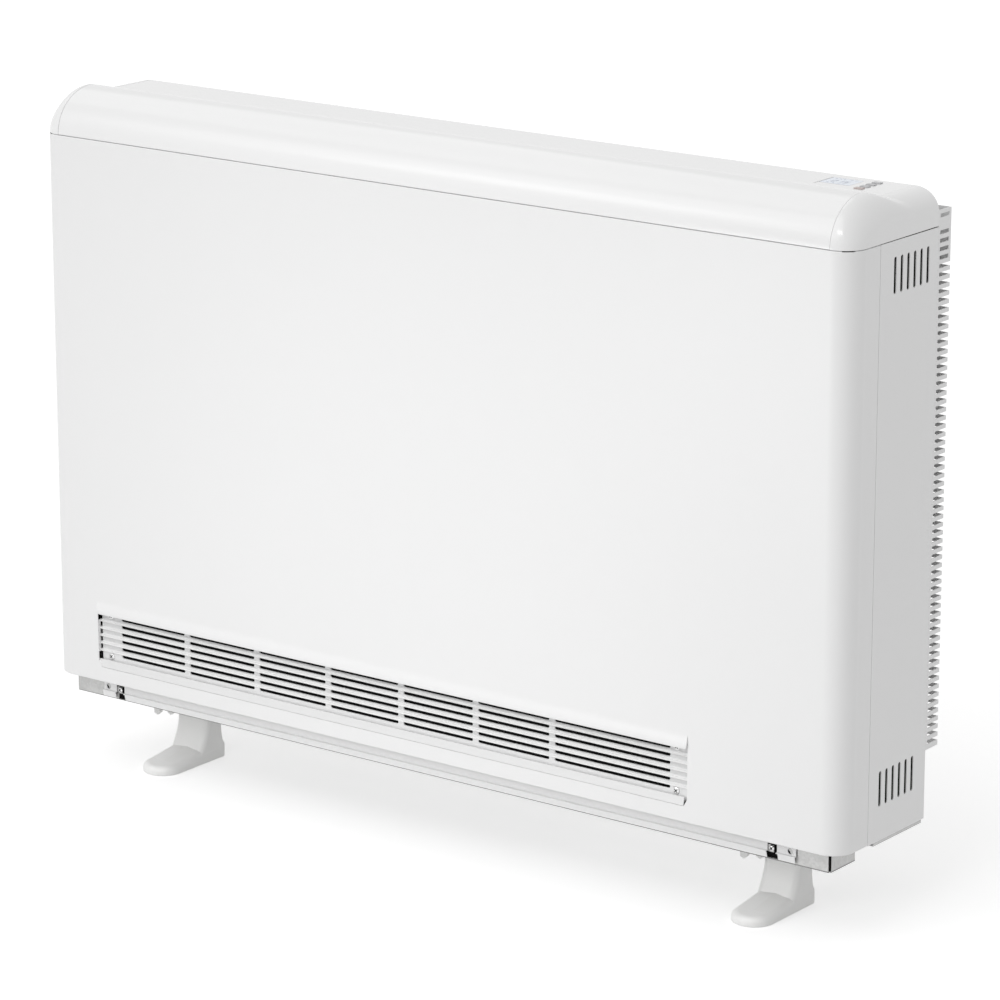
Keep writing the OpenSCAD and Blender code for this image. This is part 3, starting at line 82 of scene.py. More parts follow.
sun = bpy.data.lights.new("soft_lamp", "SUN")
sun.energy = lamp_strength
sun.angle = math.radians(lamp_softness)
lamp = bpy.data.objects.new("soft_lamp", sun)
lamp.rotation_euler = (math.radians(90 - lamp_height), 0, math.radians(lamp_side))
scene.collection.objects.link(lamp)

for name, (place, aim, spread, power) in {**soft_boxes, **sheen_boxes}.items():
    box_light = bpy.data.lights.new(name, "AREA")
    box_light.shape, box_light.energy = "RECTANGLE", power
    box_light.size, box_light.size_y = spread
    soft_box = bpy.data.objects.new(name, box_light)
    soft_box.location = place
    soft_box.rotation_euler = (Vector(aim) - Vector(place)).to_track_quat("-Z", "Y").to_euler()
    soft_box.visible_camera = False
    soft_box.visible_diffuse = name in soft_boxes
    scene.collection.objects.link(soft_box)


class Flow:
    """One socket of a material. Sums written with it add Math nodes."""

    def __init__(self, tree, socket):
        self.tree, self.socket = tree, socket

    def math(self, operation, *terms):
        node = self.tree.nodes.new("ShaderNodeMath")
        node.operation = operation
        for slot, term in zip(node.inputs, terms):
            feed(self.tree, slot, term)
        return Flow(self.tree, node.outputs[0])

    def __add__(self, other):
        return self.math("ADD", self, other)

    def __sub__(self, other):
        return self.math("SUBTRACT", self, other)

    def __rsub__(self, other):
        return self.math("SUBTRACT", other, self)

    def __mul__(self, other):
        return self.math("MULTIPLY", self, other)

    def __gt__(self, other):
        return self.math("GREATER_THAN", self, other)

    __radd__ = __add__
    __rmul__ = __mul__


def feed(tree, slot, value):
    if isinstance(value, Flow):
        tree.links.new(value.socket, slot)
    else:
        slot.default_value = value


class Finish:
    """A finish made of nodes. Its sizes are real ones, in metres on the piece."""

    def __init__(self, name, tree=None):
        if tree is None:
            self.material = bpy.data.materials.new(name)
            self.material.use_nodes = True
            tree = self.material.node_tree
        self.tree = tree

    def node(self, kind, settings={}, inputs={}, output=0):
        node = self.tree.nodes.new("ShaderNode" + kind)
        for key, value in settings.items():
            if key == "stops":
                while len(node.color_ramp.elements) < len(value):
                    node.color_ramp.elements.new(0.5)
                for stop, (place, shade) in zip(node.color_ramp.elements, value):
                    stop.position, stop.color = place, (shade, shade, shade, 1)
            else:
                setattr(node, key, value)
        for key, value in inputs.items():
            feed(self.tree, node.inputs[key], value)
        return Flow(self.tree, node.outputs[output])

    def place(self, stretch=(1, 1, 1)):
        spot = self.node("TexCoord", output="Object")
        return self.node("Mapping", {}, {"Vector": spot, "Scale": stretch})

    def grain(self, size, detail=3, stretch=(1, 1, 1)):
        inputs = {"Vector": self.place(stretch), "Scale": 1 / size, "Detail": detail}
        return self.node("TexNoise", {}, inputs)

    def cells(self, size, output="Color", **settings):
        return self.node("TexVoronoi", settings, {"Vector": self.place(), "Scale": 1 / size}, output)

    def ramp(self, value, *stops):
        return self.node("ValToRGB", {"stops": stops}, {"Fac": value})

    def fade(self, axis, places, values):
        """Runs from one value to another between two places along an axis, in millimetres."""
        along = self.node("SeparateXYZ", {}, {0: self.place()}, axis)
        (start, end), (first, last) = places, values
        return self.node("MapRange", {}, {"Value": along, "From Min": start / 1000, "From Max": end / 1000,
                                          "To Min": first, "To Max": last})

    def mix(self, share, first, second):
        first, second = [c if isinstance(c, Flow) else (*c, 1) for c in (first, second)]
        return self.node("Mix", {"data_type": "RGBA"}, {0: share, 6: first, 7: second}, 2)

    def bump(self, height, depth, strength=1):
        return self.node("Bump", {}, {"Height": height, "Distance": depth, "Strength": strength})

    def surface(self, **inputs):
        shader = self.tree.nodes["Principled BSDF"]
        for key, value in inputs.items():
            value = (*value, 1) if isinstance(value, tuple) and len(value) == 3 else value
            feed(self.tree, shader.inputs[key.replace("_", " ")], value)
        return self.material


def seen(finish):
    """1 where the camera, a reflection or clear plastic looks, and 0 where light is gathered."""
    rays = ("Is Camera Ray", "Is Glossy Ray", "Is Transmission Ray")
    straight, mirrored, through = [finish.node("LightPath", output=ray) for ray in rays]
    return straight + mirrored + through > 0.5


world = bpy.data.worlds.new("white_room")
world.use_nodes = True
scene.world = world
room = Finish("room", world.node_tree)
lit = room.node("Background", {}, {"Color": (1, 1, 1, 1), "Strength": room_light})
white = room.node("Background", {}, {"Color": (1, 1, 1, 1), "Strength": 1})
shown = room.node("MixShader", {}, {0: seen(room), 1: lit, 2: white})
room.tree.links.new(shown.socket, room.tree.nodes["World Output"].inputs["Surface"])

floor_mesh = bpy.data.meshes.new("floor")
floor_corners = [(x * floor_half, y * floor_half, 0) for x, y in ((-1, -1), (1, -1), (1, 1), (-1, 1))]
floor_mesh.from_pydata(floor_corners, [], [(0, 1, 2, 3)])
floor = bpy.data.objects.new("floor", floor_mesh)
scene.collection.objects.link(floor)
paper = Finish("white_floor")
matt = paper.node("BsdfDiffuse", {}, {"Color": (floor_bounce, floor_bounce, floor_bounce, 1)})
bright = paper.node("BsdfDiffuse", {}, {"Color": (floor_share, floor_share, floor_share, 1)})
glow = paper.node("Emission", {}, {"Color": (1, 1, 1, 1), "Strength": floor_glow})
lifted = paper.node("AddShader", {}, {0: bright, 1: glow})
shown = paper.node("MixShader", {}, {0: seen(paper), 1: matt, 2: lifted})
paper.tree.links.new(shown.socket, paper.tree.nodes["Material Output"].inputs["Surface"])
floor_mesh.materials.append(paper.material)


# ---------- base tray ----------
# The tray under the casing is folded from galvanised sheet steel, with a deep channel in front and a raised
# floor behind it. The press tool leaves its front corners open, and black blocks of painted shade stand
# behind them and behind the clip cuts. A tongue beside each end holds the screw of the front panel.

front_face = -83.5
tray_front = 15
tray_low = 76
tray_sheet = 1.2
tray_inside = tray_front + tray_sheet
tray_bend = 1.4
corner_gap = (477.6, 481)
corner_gap_depth, corner_gap_top = 2.3, 105
rail_slit = (442.0, 442.6)
slit_height = (85, 93)
clip_places = (-416.3, 416.3)
clip_foot = (-11, 4.4, 77.2, 84)
clip_slot = (-9.5, 3.6, 83.9, 92.5)
tongue = (-7.6, -0.9, 83.4, 90.6)
hole_place, hole_height, hole_radius = 435, 89, 3
hole_shift, hole_length = (-3.4, -2.5), 4
tool_over, clip_over = 1, 0.5
fold_near = 0.02
# Where the black blocks of painted shade stand, behind the open corners and the clip cuts.
shade_block_x, shade_block_z = (403, 478.3), (77.6, 97.5)
shade_block_y = (tray_inside + 0.3, tray_inside + 4.5)
shade_block_tip_x, shade_block_tip_y = (476.5, 479.5), (16.0, 17.25)
# Heights of the band of painted shade along the tray's lowest bend.
zinc_bend_shade = (76.3, 77.6)
weld, fine_weld, cut_weld = 2e-6, 1e-6, 5e-6


def spot(x, y, z):
    """A place in millimetres, with y measured back from the front panel's face."""
    return Vector((x, y + front_face, z)) / 1000


def piece(name, shape, finish, stands_for=(), body="heater", ease=0, sharp=35):
    """Makes a bmesh a piece of the heater: smooth over its bends, its sharp edges eased in millimetres."""
    mesh = bpy.data.meshes.new(name)
    shape.to_mesh(mesh)
    shape.free()
    mesh.validate()
    mesh.shade_smooth()
    mesh.set_sharp_from_angle(angle=math.radians(sharp))
    thing = bpy.data.objects.new(name, mesh)
    scene.collection.objects.link(thing)
    if ease:
        edge = thing.modifiers.new("eased_edges", "BEVEL")
        edge.width, edge.segments, edge.limit_method = ease / 1000, 2, "ANGLE"
        edge.angle_limit = math.radians(sharp)
    level = thing.modifiers.new("level_faces", "WEIGHTED_NORMAL")
    level.keep_sharp = True
    mesh.materials.append(finish)
    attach(thing, body)
    if stands_for:
        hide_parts(*stands_for)
    return thing


def solid_of(*nodes):
    """The welded shape of CAD nodes, its flat faces whole again."""
    shape = bmesh.new()
    for node in nodes:
        shape.from_mesh(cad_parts[node].data)
    for layer in list(shape.loops.layers.int.keys()):
        shape.loops.layers.int.remove(shape.loops.layers.int[layer])
    bmesh.ops.remove_doubles(shape, verts=shape.verts, dist=weld)
    bmesh.ops.dissolve_limit(shape, angle_limit=math.radians(0.5), verts=shape.verts, edges=shape.edges)
    return shape


def clean(shape):
    """The same shape in a new bmesh that holds nothing but its faces."""
    fresh = bmesh.new()
    places = [fresh.verts.new(v.co) for v in shape.verts]
    shape.verts.index_update()
    for face in shape.faces:
        fresh.faces.new([places[v.index] for v in face.verts])
    shape.free()
    return fresh


def eased_copy(name, node, finish, ease, body="heater"):
    piece(name, clean(solid_of(node)), finish, [node], body, ease)


def skin(shape, rings, closed=True, caps=True):
    """Joins rings of equal length with faces, and closes both ends."""
    rows = [[shape.verts.new(p) for p in ring] for ring in rings]
    count = len(rows[0])
    for low, high in zip(rows, rows[1:]):
        for j in range(count if closed else count - 1):
            k = (j + 1) % count
            shape.faces.new((low[j], low[k], high[k], high[j]))
    if caps:
        shape.faces.new(rows[0][::-1])
        shape.faces.new(rows[-1])
    return rows


def block(shape, low, high):
    """A box between two corners in millimetres."""
    (x0, y0, z0), (x1, y1, z1) = low, high
    foot = ((x0, y0), (x1, y0), (x1, y1), (x0, y1))
    skin(shape, [[spot(x, y, z) for x, y in foot] for z in (z0, z1)])


def turned(shape, foot, along, profile, steps=28):
    """A turned shape: steps of radius and height, in millimetres, from its foot along a direction."""
    along = Vector(along).normalized()
    side = along.orthogonal().normalized()
    up = along.cross(side)
    turns = [2 * math.pi * i / steps for i in range(steps)]
    spokes = [(math.cos(a), math.sin(a)) for a in turns]
    skin(shape, [[foot + (along * h + side * (r * c) + up * (r * s)) / 1000 for c, s in spokes]
                 for r, h in profile])


def bend(shape, radius, chosen):
    """Rounds the edges whose two ends are both chosen, as a folding tool does."""
    def held(vert):
        return chosen(vert.co.x * 1000, vert.co.y * 1000 - front_face, vert.co.z * 1000)

    edges = [e for e in shape.edges if held(e.verts[0]) and held(e.verts[1])]
    bmesh.ops.bevel(shape, geom=edges, offset=radius / 1000, segments=4, profile=0.5, affect="EDGES")


def cut(shape, tools):
    """The shape with the tools' shapes cut out of it."""
    parts = []
    for blank in (shape, tools):
        bmesh.ops.recalc_face_normals(blank, faces=blank.faces)
        mesh = bpy.data.meshes.new("blank")
        blank.to_mesh(mesh)
        blank.free()
        parts.append(bpy.data.objects.new("blank", mesh))
        scene.collection.objects.link(parts[-1])
    press = parts[0].modifiers.new("press", "BOOLEAN")
    press.operation, press.solver, press.object = "DIFFERENCE", "EXACT", parts[1]
    press.use_self = True
    result = bmesh.new()
    result.from_object(parts[0], bpy.context.evaluated_depsgraph_get())
    bmesh.ops.remove_doubles(result, verts=result.verts, dist=cut_weld)
    bmesh.ops.dissolve_degenerate(result, dist=fine_weld, edges=result.edges)
    for part in parts:
        bpy.data.objects.remove(part)
    return result


def galvanised_steel():
    """Hot-dip zinc: fine crystals of 2 to 3 mm under a dull bloom, with a few larger ones.
    The lowest edge of the tray is painted dark, as painted shade."""
    f = Finish("galvanised_steel")
    fine = f.node("SeparateColor", {}, {"Color": f.cells(0.0026)})
    large = f.node("SeparateColor", {}, {"Color": f.cells(0.013)})
    bloom = f.grain(0.05)
    shade = fine * 0.5 + large * 0.15 + bloom * 0.35
    # Painted shade: the lowest bend of the tray is darkened.
    bend_shade = f.fade("Z", zinc_bend_shade, (0.85, 0))
    colour = f.mix(bend_shade, f.mix(shade, (0.42, 0.42, 0.415), (0.6, 0.6, 0.595)), (0.08, 0.08, 0.08))
    return f.surface(Base_Color=colour, Metallic=0.85, Roughness=0.36 + 0.16 * fine + 0.1 * bloom,
                     Normal=f.bump(f.grain(0.002), 0.00002))


zinc_sheet = galvanised_steel()
tray = clean(solid_of("base_tray"))
bend(tray, tray_bend, lambda x, y, z: max(abs(y - tray_front), abs(z - tray_low)) < fold_near)
holes = bmesh.new()
cut_from = tray_front - tool_over
for side in (-1, 1):
    left, right = sorted(side * x for x in corner_gap)
    low, high = tray_low - tool_over, corner_gap_top
    block(holes, (left, cut_from, low), (right, tray_front + corner_gap_depth, high))
    left, right = sorted(side * x for x in rail_slit)
    low, high = slit_height
    block(holes, (left, cut_from, low), (right, tray_inside + tool_over, high))
    centre = spot(side * hole_place + hole_shift[0], cut_from, hole_height + hole_shift[1])
    turned(holes, centre, (0, 1, 0), [(hole_radius, 0), (hole_radius, hole_length)])
for place in clip_places:
    for x0, x1, z0, z1 in (clip_foot, clip_slot):
        block(holes, (place + x0, cut_from, z0), (place + x1, tray_inside + clip_over, z1))
tray = cut(tray, holes)
x0, x1, z0, z1 = tongue
for place in clip_places:
    block(tray, (place + x0, tray_front, z0), (place + x1, tray_inside, z1))
piece("base_tray_sheet", tray, zinc_sheet, ["base_tray"], ease=0.25)


def black_shade_block():
    """Matt black blocks of painted shade behind the tray's open corners and clip cuts, with a pore grain
    like cut foam.
    """
    f = Finish("black_shade_block")
    pores = f.cells(0.0009, "Distance")
    colour = f.mix(pores, (0.002, 0.002, 0.002), (0.006, 0.006, 0.006))
    return f.surface(Base_Color=colour, Roughness=0.9 + 0.1 * pores, Specular_IOR_Level=0.1,
                     Normal=f.bump(pores, 0.0002, 0.6))


# Black blocks of painted shade stand behind the tray's open corners and clip cuts.
shade_blocks = bmesh.new()
for side in (-1, 1):
    for xs, ys in ((shade_block_x, shade_block_y), (shade_block_tip_x, shade_block_tip_y)):
        left, right = sorted(side * x for x in xs)
        block(shade_blocks, (left, ys[0], shade_block_z[0]), (right, ys[1], shade_block_z[1]))
piece("tray_shade_blocks", shade_blocks, black_shade_block(), ease=0.3)


# ---------- front rail ----------
# A white stepped rail closes the tray's channel under the panel. It is folded sheet, coated like the
# panel, and a clip cut beside each end lets the panel's screw through.

enamel_white = (0.86, 0.86, 0.86)
enamel_drift = 0.985
# A plate set back between ribs is painted darker as shade: the height and fade of its lower edge, the least
# share there, the depth band and the darkness.
valley_shade_floor, valley_shade_edge, valley_shade_least = 133, 1.5, 0.25
valley_shade_reach, valley_shade_clear, valley_shade_share = 1.6, 0.1, 0.78
rail_half = 441.5
rail_low, rail_ledge, rail_high = 78.1, 85, 105.5
rail_face, rail_upper_face, rail_toe = 11.3, 13.8, 12.6
rail_sheet, rail_bend, rail_crease = 0.8, 1.2, 0.3
rail_foot_cut = (-7.2, 5.6, 77, 84)
rail_screw_cut = (-7.6, 3.4, 83.4, 92.5)
rail_hole_length = 6


def white_enamel(name="white_enamel", roughness=0.36, shade=enamel_white, back=None):
    """Baked powder coat: an even satin white with a faint orange peel of about 2 mm.
    A plate that stands back, in millimetres from the panel's face, is painted darker between ribs as painted
    shade."""
    f = Finish(name)
    peel = f.grain(0.0022, 1)
    drift = f.grain(0.25, 2)
    colour = f.mix(drift, tuple(enamel_drift * c for c in shade), shade)
    if back is not None:
        # Painted shade: a plate set back between ribs is darkened.
        plate = back + front_face
        dust_and_shade = f.fade("Y", (plate - valley_shade_reach, plate - valley_shade_clear), (0, 1))
        between = f.fade("Z", (valley_shade_floor - valley_shade_edge, valley_shade_floor), (valley_shade_least, 1))
        colour = f.mix(dust_and_shade * between, colour, tuple(valley_shade_share * c for c in shade))
    return f.surface(Base_Color=colour, Roughness=roughness + 0.05 * (peel - 0.5), IOR=1.5,
                     Normal=f.bump(peel, 0.00002, 0.5))


def round_bend(y, z, radius, start, steps=5):
    """Points round a fold about a centre, a quarter turn on from a starting angle in degrees."""
    turns = [math.radians(start + 90 * i / steps) for i in range(steps + 1)]
    return [(y + radius * math.cos(a), z + radius * math.sin(a)) for a in turns]


enamel = white_enamel()
r, t = rail_bend, rail_sheet
rail_line = [(rail_upper_face, rail_high), (rail_upper_face, rail_ledge + rail_crease)]
rail_line += [(rail_upper_face - rail_crease, rail_ledge)]
rail_line += round_bend(rail_face + r, rail_ledge - r, r, 90)
rail_line += [(rail_toe, rail_low), (rail_toe + t, rail_low), (rail_face + t, rail_ledge - r)]
rail_line += [(rail_face + r, rail_ledge - t), (rail_upper_face + t, rail_ledge - t)]
rail_line += [(rail_upper_face + t, rail_high)]
rail = bmesh.new()
skin(rail, [[spot(x, y, z) for y, z in rail_line] for x in (-rail_half, rail_half)])
holes = bmesh.new()
cut_from = rail_face - tool_over
for place in clip_places:
    for x0, x1, z0, z1 in (rail_foot_cut, rail_screw_cut):
        block(holes, (place + x0, cut_from, z0), (place + x1, tray_front + tool_over, z1))
for side in (-1, 1):
    centre = spot(side * hole_place, cut_from, hole_height)
    turned(holes, centre, (0, 1, 0), [(hole_radius, 0), (hole_radius, rail_hole_length)])
piece("front_rail_sheet", cut(rail, holes), enamel, ["front_rail"], ease=0.2)


# ---------- panel screws ----------
# A zinc-plated pan-head screw at each end holds the panel's lower edge to the tongue of the tray.
# It is cold-headed steel, and a black core inside its cross recess is painted shade.
# A screw's size is its head's radius and height, then its shank's radius and length.

head_dome = ((1, 0.02), (1, 0.35), (0.94, 0.62), (0.8, 0.82), (0.55, 0.96), (0.05, 1))
recess_width = 1.15
recess_taper = ((0.5, 0.9), (0.72, -0.2))
recess_core = (0.7, 0.2, 0.55)
panel_screw_shift, panel_screw_height = -2.75, 87.6
panel_screw_size = (3.1, 2.2, 1.75, 8)


def zinc_plated_steel():
    """Bright zinc plate with a faint straw tint and fine turning marks."""
    f = Finish("zinc_plated_steel")
    tint = f.grain(0.004)
    marks = f.grain(0.0005, 2)
    return f.surface(Base_Color=f.mix(tint, (0.68, 0.68, 0.67), (0.8, 0.8, 0.81)), Metallic=1.0,
                     Roughness=0.24 + 0.12 * marks, Normal=f.bump(marks, 0.00001, 0.5))


def screw(shape, foot, along, radius, height, shank, length):
    """A pan-head screw with a cross recess."""
    blank, tools = bmesh.new(), bmesh.new()
    dome = [(radius * r, height * h) for r, h in head_dome]
    turned(blank, foot, along, [(shank, -length), (shank, 0)] + dome)
    along = Vector(along)
    side = along.orthogonal().normalized()
    up = along.cross(side)
    for a, b in ((side, up), (up, side)):
        rings = []
        for reach, depth in recess_taper:
            centre = foot + along * ((height - height * depth) / 1000)
            a1, b1 = a * (radius * reach / 1000), b * (recess_width / 2000)
            rings.append([centre + a1 + b1, centre - a1 + b1, centre - a1 - b1, centre + a1 - b1])
        skin(tools, rings)
    head = cut(blank, tools)
    mesh = bpy.data.meshes.new("head")
    head.to_mesh(mesh)
    head.free()
    shape.from_mesh(mesh)
    bpy.data.meshes.remove(mesh)


def recess_shade():
    """A near-black core inside the recess of a screw, as painted shade."""
    f = Finish("recess_shade")
    speck = f.grain(0.0004)
    colour = f.mix(speck, (0.006, 0.006, 0.006), (0.03, 0.03, 0.03))
    return f.surface(Base_Color=colour, Roughness=0.8 + 0.1 * speck, Specular_IOR_Level=0.2,
                     Normal=f.bump(speck, 0.00005))


def screws(name, node, places, along, size):
    shape, cores = bmesh.new(), bmesh.new()
    radius, height, shank, length = size
    reach, low, high = recess_core
    core = [(radius * reach, height * low), (radius * reach, height * high)]
    for place in places:
        screw(shape, spot(*place), along, radius, height, shank, length)
        turned(cores, spot(*place), along, core, 16)
    # The black cores in the recesses are painted shade.
    piece(name + "_recesses", cores, recess_shade_black)
    piece(name + "_heads", shape, bright_zinc, [node], sharp=50)


bright_zinc = zinc_plated_steel()
recess_shade_black = recess_shade()
places = [(x + panel_screw_shift, tray_front, panel_screw_height) for x in clip_places]
screws("panel_screw", "panel_screws", places, (0, -1, 0), panel_screw_size)


# ---------- feet ----------
# Each foot is one moulding in white plastic: a thick round toe that rises to the foot of an upright column.
# A flange under the tray takes two screws, and two hooks hang from it.

foot_centre = 379.3
foot_half = 22.35
foot_top = 93.5
toe_front, heel = 14, 113
toe_height = 10.5
toe_rise, toe_rise_from, toe_rise_over, toe_rise_power = 9.5, 36, 42, 1.5
toe_round = (7.5, 6.8)
toe_close, toe_close_power = 0.995, 1.5
sole_edge = ((1.2, 0), (0.35, 0.35), (0, 1.2))
least_round = 0.01
column_front, column_back = 83, 108
column_low, column_sunk = 5, 0.1
column_flare, flare_from, flare_over, flare_power = 8.5, 46, 27, 1.8
back_flare_from, back_flare_over = 31, 26
column_corner, heel_corner = 8, 3.5
column_inset = 0.15
flange_y = (60, 130)
flange_left = -33
flange_z = 89.5
hook_places = (-33, -14)
hook_lengths = (39.5, 36)
hook_y, hook_width, hook_tip = (flange_y[0], flange_y[0] + 4), 9, 4.5
hook_rises = (4, 2)


def moulded_plastic(name, colour, roughness=0.42, texture=0.0006):
    """A moulding from a spark-eroded tool: a fine even grain, and a little gloss on it."""
    f = Finish(name)
    pits = f.grain(texture, 2)
    flow = f.grain(0.06, 2)
    dull = tuple(0.96 * c for c in colour)
    return f.surface(Base_Color=f.mix(flow, dull, colour), Roughness=roughness + 0.08 * (pits - 0.5),
                     IOR=1.47, Normal=f.bump(pits, 0.00001, 0.5))


white_plastic = moulded_plastic("white_plastic", (0.93, 0.93, 0.92), 0.34)


def rounded_ring(front, back, half, front_r, back_r, z, centre, steps=9):
    """A rounded rectangle at a height, or at a height for each depth, from its right front corner round."""
    corners = [(half - front_r, front + front_r, front_r, -90),
               (half - back_r, back - back_r, back_r, 0),
               (-half + back_r, back - back_r, back_r, 90),
               (-half + front_r, front + front_r, front_r, 180)]
    ring = []
    for x, y, r, start in corners:
        for i in range(steps + 1):
            turn = math.radians(start + 90 * i / steps)
            depth = y + r * math.sin(turn)
            ring.append(spot(centre + x + r * math.cos(turn), depth, z(depth) if callable(z) else z))
    return ring


def toe_top(y):
    share = min(1, max(0, (y - toe_rise_from) / toe_rise_over))
    return toe_height + toe_rise * share ** toe_rise_power


def make_foot(name, node, centre):
    def toe_ring(inset, heel_round, z):
        half = foot_half - inset
        return rounded_ring(toe_front + inset, heel - inset, half, half - least_round, heel_round, z, centre)

    shape = bmesh.new()
    rings = [toe_ring(inset, heel_corner, z) for inset, z in sole_edge]
    for i in range(31):
        inset = foot_half * (i / 30) ** toe_close_power * toe_close
        turn = min(1, inset / toe_round[0])
        drop = toe_round[1] * (1 - math.sqrt(1 - (1 - turn) ** 2))
        heel_round = max(least_round, heel_corner - inset)
        rings.append(toe_ring(inset, heel_round, lambda y: toe_top(y) - drop))
    skin(shape, rings)
    rings = []
    half = foot_half - column_inset
    for i in range(25):
        z = column_low + (flange_z + column_sunk - column_low) * i / 24
        front = column_front - column_flare * max(0, (flare_from - z) / flare_over) ** flare_power
        back = column_back + (heel - column_back) * max(0, (back_flare_from - z) / back_flare_over)
        rings.append(rounded_ring(front, back - column_inset, half, column_corner, heel_corner, z, centre))
    skin(shape, rings)
    block(shape, (centre + flange_left, flange_y[0], flange_z), (centre + foot_half, flange_y[1], foot_top))
    for place, length in zip(hook_places, hook_lengths):
        x = centre + place
        outline = [(x, 0), (x + hook_width, 0), (x + hook_width, hook_rises[0] - length),
                   (x + hook_tip, -length), (x, hook_rises[1] - length)]
        skin(shape, [[spot(px, y, flange_z + pz) for px, pz in outline] for y in hook_y])
    bmesh.ops.recalc_face_normals(shape, faces=shape.faces)
    piece(name, shape, white_plastic, [node], ease=0.4, sharp=50)


make_foot("left_foot_moulding", "left_foot", -foot_centre)
make_foot("right_foot_moulding", "right_foot", foot_centre)


# ---------- front panel ----------
# One sheet of steel, folded round both front corners onto the sides, with short returns at top and bottom.
# A hood is pressed out above the outlet, and a separate folded strip slopes in below it as a sill.
# Both are coated with white powder; the sill's coat is darker, as painted shade.

half_width = 500
panel_low, panel_high = 98, 684
corner = 24
wrap = 48
sheet = 1.2
fold = 6
fold_bend = 1.3
outlet_x = (-436, 323.9)
outlet_z = (114.5, 188)
outlet_web = (4, 121.5)
hood_out, hood_drop, hood_bend = 2.2, 14.6, 12
hood_corner = 3
hood_lip = ((0, 0.8), (0.4, 0), (1.4, -0.2))
sill_in, sill_rise, sill_joint = 2.0, 8.3, 0.34
sill_left_slant, sill_left_gap = 1.6, 0.5
sill_right_slant, sill_right_gap, sill_right_draw = 1.5, 0.3, 1.3
# The sill's enamel is darkened as painted shade.
sill_painted_shade = (0.775, 0.775, 0.775)
sill_line = ((0, 0), (0.03, 0.03), (0.1, 0.09), (0.5, 0.47), (0.88, 0.84), (0.97, 0.93), (1, 1))
gusset, gusset_shift, gusset_out = (1.5, 1.8, 7.3), 0.05, 0.1
wall_shift, wall_out, wall_in = 0.06, 0.15, 4.2
wall_z = (131, 166)
relief, relief_rows = (5, 10), 5


def panel_plan(inset, steps=14):
    """Plan of the panel's outside, from the end of its left wrap to the end of its right one."""
    middle, r = half_width - corner, corner - inset
    turns = [math.radians(90 * i / steps) for i in range(steps + 1)]
    left = [(-half_width + inset, wrap)]
    left += [(-middle - r * math.cos(a), corner - r * math.sin(a)) for a in turns]
    right = [(-x, y) for x, y in left[::-1]]
    x0, x1 = outlet_x
    return left + [(x, inset) for x in (x0, x0 + outlet_web[0], x1 - outlet_web[0], x1)] + right


def panel_rows():
    """How far each row of the panel is drawn in, and its height, from the lower return to the upper one."""
    turns = [math.radians(18 * i) for i in range(6)]
    low = [(fold, panel_low)]
    low += [(fold_bend * (1 - math.sin(a)), panel_low + fold_bend * (1 - math.cos(a))) for a in turns]
    high = [(inset, panel_low + panel_high - z) for inset, z in low[::-1]]
    return low + [(0, z) for z in (outlet_z[0], outlet_web[1], outlet_z[1])] + high


def thick(thing, depth):
    """Gives a folded skin its sheet thickness, inwards, before its edges are eased."""
    wall = thing.modifiers.new("sheet", "SOLIDIFY")
    wall.thickness, wall.offset, wall.use_even_offset = depth / 1000, -1, True
    thing.modifiers.move(len(thing.modifiers) - 1, 0)


def hood_spot(x, y, z, raised):
    """A place on the hood, whose lower edge is raised by that many millimetres at x."""
    return spot(x, y, outlet_z[1] - (outlet_z[1] - z) * (1 - raised / hood_drop))


def sill_row(share, rise):
    """The two ends of one fold line of the sill strip."""
    y, web = sill_in * share, outlet_web[0] * (1 - share)
    z = outlet_z[0] + sill_joint + sill_rise * rise
    left = outlet_x[0] + web - sill_left_slant * y - sill_left_gap
    right = outlet_x[1] - web - sill_right_slant * y - sill_right_gap - sill_right_draw * share
    return [spot(left, y, z), spot(right, y, z)]


shape = bmesh.new()
rows = panel_rows()
plan = panel_plan(0)
grid = [[shape.verts.new(spot(x, y, z)) for x, y in panel_plan(inset)] for inset, z in rows]
for i in range(len(rows) - 1):
    low, high = rows[i][1], rows[i + 1][1]
    for j in range(len(plan) - 1):
        left, right = plan[j][0], plan[j + 1][0]
        quad = (grid[i][j], grid[i][j + 1], grid[i + 1][j + 1], grid[i + 1][j])
        from_ends = (j - 1, len(plan) - 3 - j)
        if i >= len(rows) - relief_rows and any(relief[0] <= k < relief[1] for k in from_ends):
            continue
        beside = left < outlet_x[0] or right > outlet_x[1]
        if beside or low < outlet_z[0] or high > outlet_z[1]:
            shape.faces.new(quad)
        elif low == outlet_z[0] and left == outlet_x[0]:
            shape.faces.new((quad[0], quad[1], quad[3]))
        elif low == outlet_z[0] and right == outlet_x[1]:
            shape.faces.new((quad[0], quad[1], quad[2]))

shares = [u / 10 for u in range(11)]
hood = [(-hood_out * (1 - math.cos(math.pi * u)) / 2, outlet_z[1] - hood_bend * u) for u in shares]
hood += [(y - hood_out, outlet_z[1] - hood_drop + z) for y, z in hood_lip]
turns = [math.radians(15 * k) for k in range(7)]
ends = [(hood_corner * (1 - math.cos(a)), hood_corner * (1 - math.sin(a))) for a in turns]
stations = [(outlet_x[0] + over, raised) for over, raised in ends]
stations += [(outlet_x[1] - over, raised) for over, raised in ends[::-1]]
hood_rows = [[hood_spot(x, y, z, raised) for x, raised in stations] for y, z in hood[::-1]]
skin(shape, hood_rows, closed=False, caps=False)
shape.faces.new([shape.verts.new(hood_spot(outlet_x[1], y, z, hood_corner)) for y, z in hood])
for x, depths in ((outlet_x[0] + wall_shift, (wall_out, wall_in)),
                  (outlet_x[1] - wall_shift, (wall_in, wall_out))):
    skin(shape, [[spot(x, y, z) for y in depths] for z in wall_z], closed=False, caps=False)
over, deep, rise = gusset
corners = ((outlet_x[0] + outlet_web[0], gusset_out, outlet_z[0]),
           (outlet_x[0] + over, deep, outlet_z[0] + rise),
           (outlet_x[0] + gusset_shift, gusset_out, outlet_web[1]))
